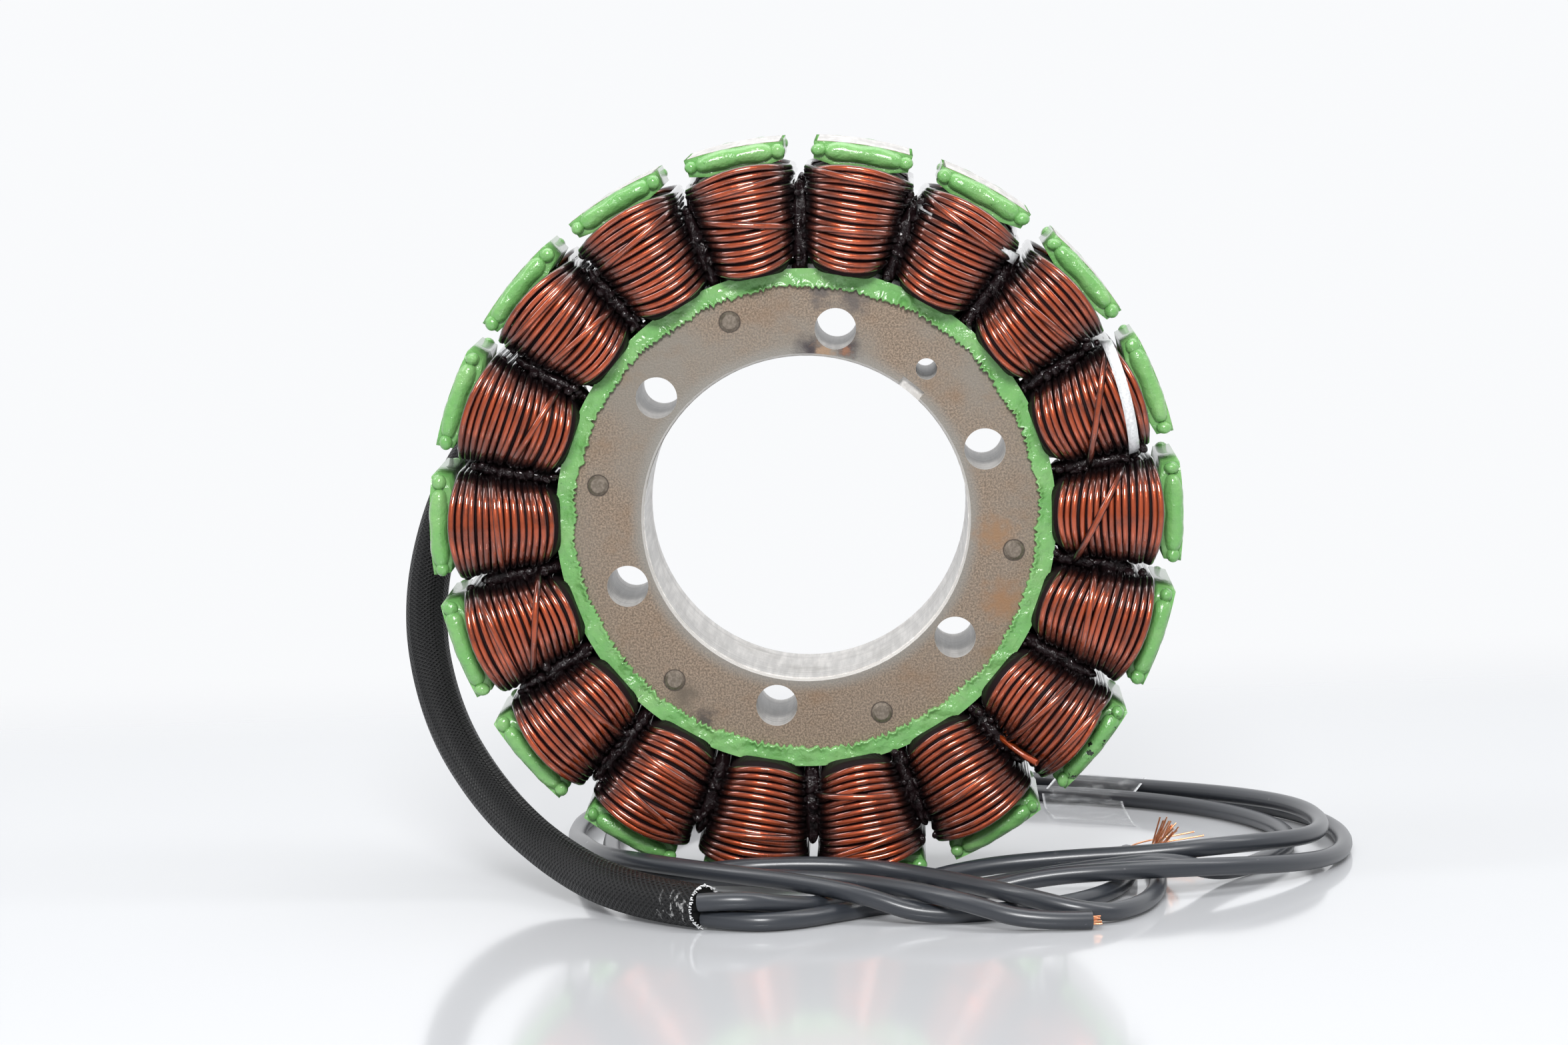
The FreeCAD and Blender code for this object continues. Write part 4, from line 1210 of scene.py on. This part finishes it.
def curve_piece(name, lines, radius, finish, order, rings=6):
    """A curve object whose splines follow the given control points, with a round section."""
    curve = bpy.data.curves.new(name, "CURVE")
    curve.dimensions = "3D"
    for points in lines:
        spline = curve.splines.new("NURBS")
        spline.points.add(len(points) - 1)
        weighted = np.ones((len(points), 4), dtype=np.float32)
        weighted[:, :3] = points
        spline.points.foreach_set("co", weighted.ravel())
        spline.order_u = order
        spline.use_endpoint_u = True
        spline.use_smooth = True
        spline.resolution_u = rings
    curve.bevel_depth = radius
    curve.bevel_resolution = 5 if radius > MM else 1
    curve.use_fill_caps = True
    curve.materials.append(finish_of(finish))
    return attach(in_scene(name, curve), "root")


def section_axes(way):
    """Two axes across a cord's direction: one level, the other upwards."""
    across = unit(np.cross(way, (0.0, 0.0, 1.0)))
    return across, np.cross(across, way)


def strand_lines(route, fan, seed):
    """Strands that leave a lead's end side by side and fan out, each from inside the jacket to its tip."""
    aim, reach, spread, count = fan
    rng = np.random.default_rng(seed)
    before, end = route_points(route)[-2:]
    way_out = unit(end - before)
    across, up = section_axes(way_out)
    ring = rng.uniform(0.0, 2.0 * math.pi, count)
    out = np.sqrt(rng.uniform(0.0, 1.0, count)) * LEAD_D * 0.25
    start = end + out[:, None] * (np.cos(ring)[:, None] * across + np.sin(ring)[:, None] * up)
    way = unit(unit(np.array(aim)) + rng.normal(0.0, spread, (count, 3)))
    length = reach * rng.uniform(0.78, 1.0, count)[:, None]
    middle = start + way_out * length * 0.25 + way * length * 0.2
    tip = start + way * length
    points = np.stack([start - way_out * 1.0 * MM, start, middle, (middle + tip) / 2.0, tip], axis=1)
    points[..., 2] = np.maximum(points[..., 2], FLOOR_Z + 0.2 * MM)
    return points


class CURVE_OT_stator_sleeve(bpy.types.Operator):
    """Lays the woven sleeve from the joints to the floor, with its frayed cut end"""

    bl_idname = "curve.stator_sleeve"
    bl_label = "Lead sleeve"

    def execute(self, context):
        points = route_points(SLEEVE_ROUTE)
        sleeve = curve_piece("lead_sleeve_weave", [points], SLEEVE_D / 2.0, "woven_sleeve", 3, 14)
        fray = curve_piece("sleeve_fray", self.fibres(points), 0.07 * MM, "glass_fibre", 3, 3)
        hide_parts("lead_sleeve")
        return {"FINISHED"}

    def fibres(self, points):
        """Short curled fibres round the rim of the cut end."""
        rng = np.random.default_rng(5)
        count = 120
        way = unit(points[-1] - points[-2])
        across, up = section_axes(way)
        ring = np.linspace(0.0, 2.0 * math.pi, count, endpoint=False) + rng.normal(0.0, 0.04, count)
        spoke = np.cos(ring)[:, None] * across + np.sin(ring)[:, None] * up
        rim = points[-1] + spoke * (SLEEVE_D / 2.0 - 0.25 * MM)
        lengths = rng.uniform(0.15, 0.7, count)[:, None] * MM
        sway = rng.normal(0.0, 0.16, (count, 3)) * MM
        lines = np.stack([rim - way * 0.3 * MM, rim + way * lengths * 0.5 + spoke * 0.1 * MM,
                          rim + way * lengths + sway], axis=1)
        lines[..., 2] = np.maximum(lines[..., 2], FLOOR_Z + 0.15 * MM)
        return lines


class CURVE_OT_stator_leads(bpy.types.Operator):
    """Lays the three leads in their loops and fans out their bared strands"""

    bl_idname = "curve.stator_leads"
    bl_label = "Leads"

    def execute(self, context):
        for seed, (key, route) in enumerate(LEAD_ROUTES.items()):
            points = route_points(route)
            lead = curve_piece(f"lead_{key}_jacket", [points], LEAD_D / 2.0, "lead_jacket", 3, 8)
            strands = curve_piece(f"lead_{key}_strands", strand_lines(route, STRAND_FANS[key], 60 + seed),
                                  STRAND_R, "bare_copper", 3, 4)
            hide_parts(f"lead_{key}")
            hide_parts(f"strand_end_{key}")
        return {"FINISHED"}


# Studio.

def area_lamp(name, at, size, watts):
    """A rectangular lamp that looks at the core."""
    lamp = bpy.data.lights.new(name, "AREA")
    lamp.shape = "RECTANGLE"
    lamp.size, lamp.size_y = size
    lamp.energy = watts
    holder = in_scene(name, lamp)
    holder.location = at
    holder.rotation_euler = (Vector(LAMP_AIM) - Vector(at)).to_track_quat("-Z", "Y").to_euler()
    return holder


def studio_world():
    """Pale surroundings: white where looked at, and where mirrored from behind the object.

    The mirrored strength falls towards the camera, with the y part of the direction. As light on the object
    the surroundings are even.
    """
    world = bpy.data.worlds.new("studio")
    world.use_nodes = True
    tree = world.node_tree
    rays = node(tree, "ShaderNodeLightPath", {}).outputs
    seen = calculated(tree, "MAXIMUM", rays["Is Camera Ray"], rays["Is Transmission Ray"])
    way = split(tree, place_of(tree, "Generated"))
    mirrored = ranged(tree, way["Y"], -0.45, 0.4, MIRRORED_FRONT, MIRRORED_BACK)
    level = node(tree, "ShaderNodeMix", {
        0: rays["Is Glossy Ray"], 2: WORLD_LIGHT, 3: mirrored}, data_type="FLOAT")
    strength = node(tree, "ShaderNodeMix", {0: seen, 2: level.outputs[0], 3: 1.0}, data_type="FLOAT")
    filled(tree, tree.nodes["Background"], {"Color": BACKDROP_WHITE, "Strength": strength.outputs[0]})
    bpy.context.scene.world = world


def floor_finish(tree):
    """Pale glossy table top that fades into the backdrop at its far edge, and all round farther out."""
    place = place_of(tree)
    level = split(tree, place)
    slanted = calculated(tree, "MULTIPLY_ADD", level["X"], TABLE_FADE_SLANT, level["Y"])
    far_edge = ranged(tree, slanted, TABLE_FADE_END_Y, TABLE_FADE_START_Y)
    away = vector_sum(tree, "LENGTH", vector_sum(tree, "MULTIPLY", place, (1.0, 1.0, 0.0))[0])["Value"]
    rim = ranged(tree, away, TABLE_RIM_R, TABLE_RIM_R / 2.0)
    camera_ray = node(tree, "ShaderNodeLightPath", {}).outputs["Is Camera Ray"]
    return {
        "Base Color": settings().floor_colour, "Roughness": 0.09, "IOR": 1.45,
        "Alpha": calculated(tree, "MULTIPLY", far_edge, rim), "Emission Color": settings().floor_colour,
        "Emission Strength": calculated(tree, "MULTIPLY", camera_ray, FLOOR_GLOW),
    }


def camera_matrix():
    """The camera's axes from its yaw, pitch and roll, in columns, with its place."""
    yaw, pitch, roll = CAMERA_YAW, CAMERA_PITCH, CAMERA_ROLL
    ahead = Vector((math.sin(yaw) * math.cos(pitch), math.cos(yaw) * math.cos(pitch), math.sin(pitch)))
    right = Vector((math.cos(yaw), -math.sin(yaw), 0.0))
    up = right.cross(ahead)
    rolled_right = math.cos(roll) * right + math.sin(roll) * up
    rolled_up = -math.sin(roll) * right + math.cos(roll) * up
    turn = Matrix((rolled_right, rolled_up, -ahead)).transposed().to_4x4()
    return Matrix.Translation(CAMERA_AT) @ turn


class OBJECT_OT_stator_stage(bpy.types.Operator):
    """Sets the table, the backdrop, the lamps and the camera"""

    bl_idname = "object.stator_stage"
    bl_label = "Stage"

    def execute(self, context):
        studio_world()
        points = np.stack(np.broadcast_arrays(TABLE_X[:, None], TABLE_Y, FLOOR_Z - TABLE_GAP), axis=-1)
        corners, faces = grid(points[None], flip=True)
        mesh = bpy.data.meshes.new("table")
        mesh.from_pydata(corners.tolist(), [], faces.tolist())
        mesh.materials.append(new_material("table_top", floor_finish))
        table = in_scene("table", mesh)
        lamps = [area_lamp(*lamp) for lamp in LAMPS]
        camera = bpy.data.cameras.new("photo_camera")
        camera.lens = CAMERA_LENS
        camera.sensor_width = CAMERA_SENSOR
        camera.clip_start = 0.01
        holder = in_scene("photo_camera", camera)
        holder.matrix_world = camera_matrix()
        context.scene.camera = holder
        context.scene.view_settings.view_transform = "Standard"
        return {"FINISHED"}


class VIEW3D_PT_stator(bpy.types.Panel):
    """Buttons and sizes of the stator"""

    bl_idname = "VIEW3D_PT_stator"
    bl_label = "Wound stator"
    bl_space_type = "VIEW_3D"
    bl_region_type = "UI"
    bl_category = "Stator"

    def draw(self, context):
        column = self.layout.column(align=True)
        for key in StatorSettings.__annotations__:
            column.prop(context.scene.stator, key)
        for step in STEPS:
            column.operator(step.bl_idname)


STEPS = (
    MESH_OT_stator_core, MESH_OT_stator_coat, MESH_OT_stator_coils, MESH_OT_stator_varnish,
    MESH_OT_stator_rear, MESH_OT_stator_tape, CURVE_OT_stator_sleeve, CURVE_OT_stator_leads,
    OBJECT_OT_stator_stage,
)


def register():
    """Adds the classes and the scene's settings."""
    for made in (StatorSettings,) + STEPS + (VIEW3D_PT_stator,):
        bpy.utils.register_class(made)
    bpy.types.Scene.stator = bpy.props.PointerProperty(type=StatorSettings)


def unregister():
    """Takes the settings and the classes away again."""
    del bpy.types.Scene.stator
    for made in (VIEW3D_PT_stator,) + STEPS[::-1] + (StatorSettings,):
        bpy.utils.unregister_class(made)


def main():
    """Builds the stator and its studio."""
    register()
    bpy.ops.mesh.stator_core()
    bpy.ops.mesh.stator_coat()
    bpy.ops.mesh.stator_coils()
    bpy.ops.mesh.stator_varnish()
    bpy.ops.mesh.stator_rear()
    bpy.ops.mesh.stator_tape()
    bpy.ops.curve.stator_sleeve()
    bpy.ops.curve.stator_leads()
    bpy.ops.object.stator_stage()


if __name__ == "__main__":
    main()
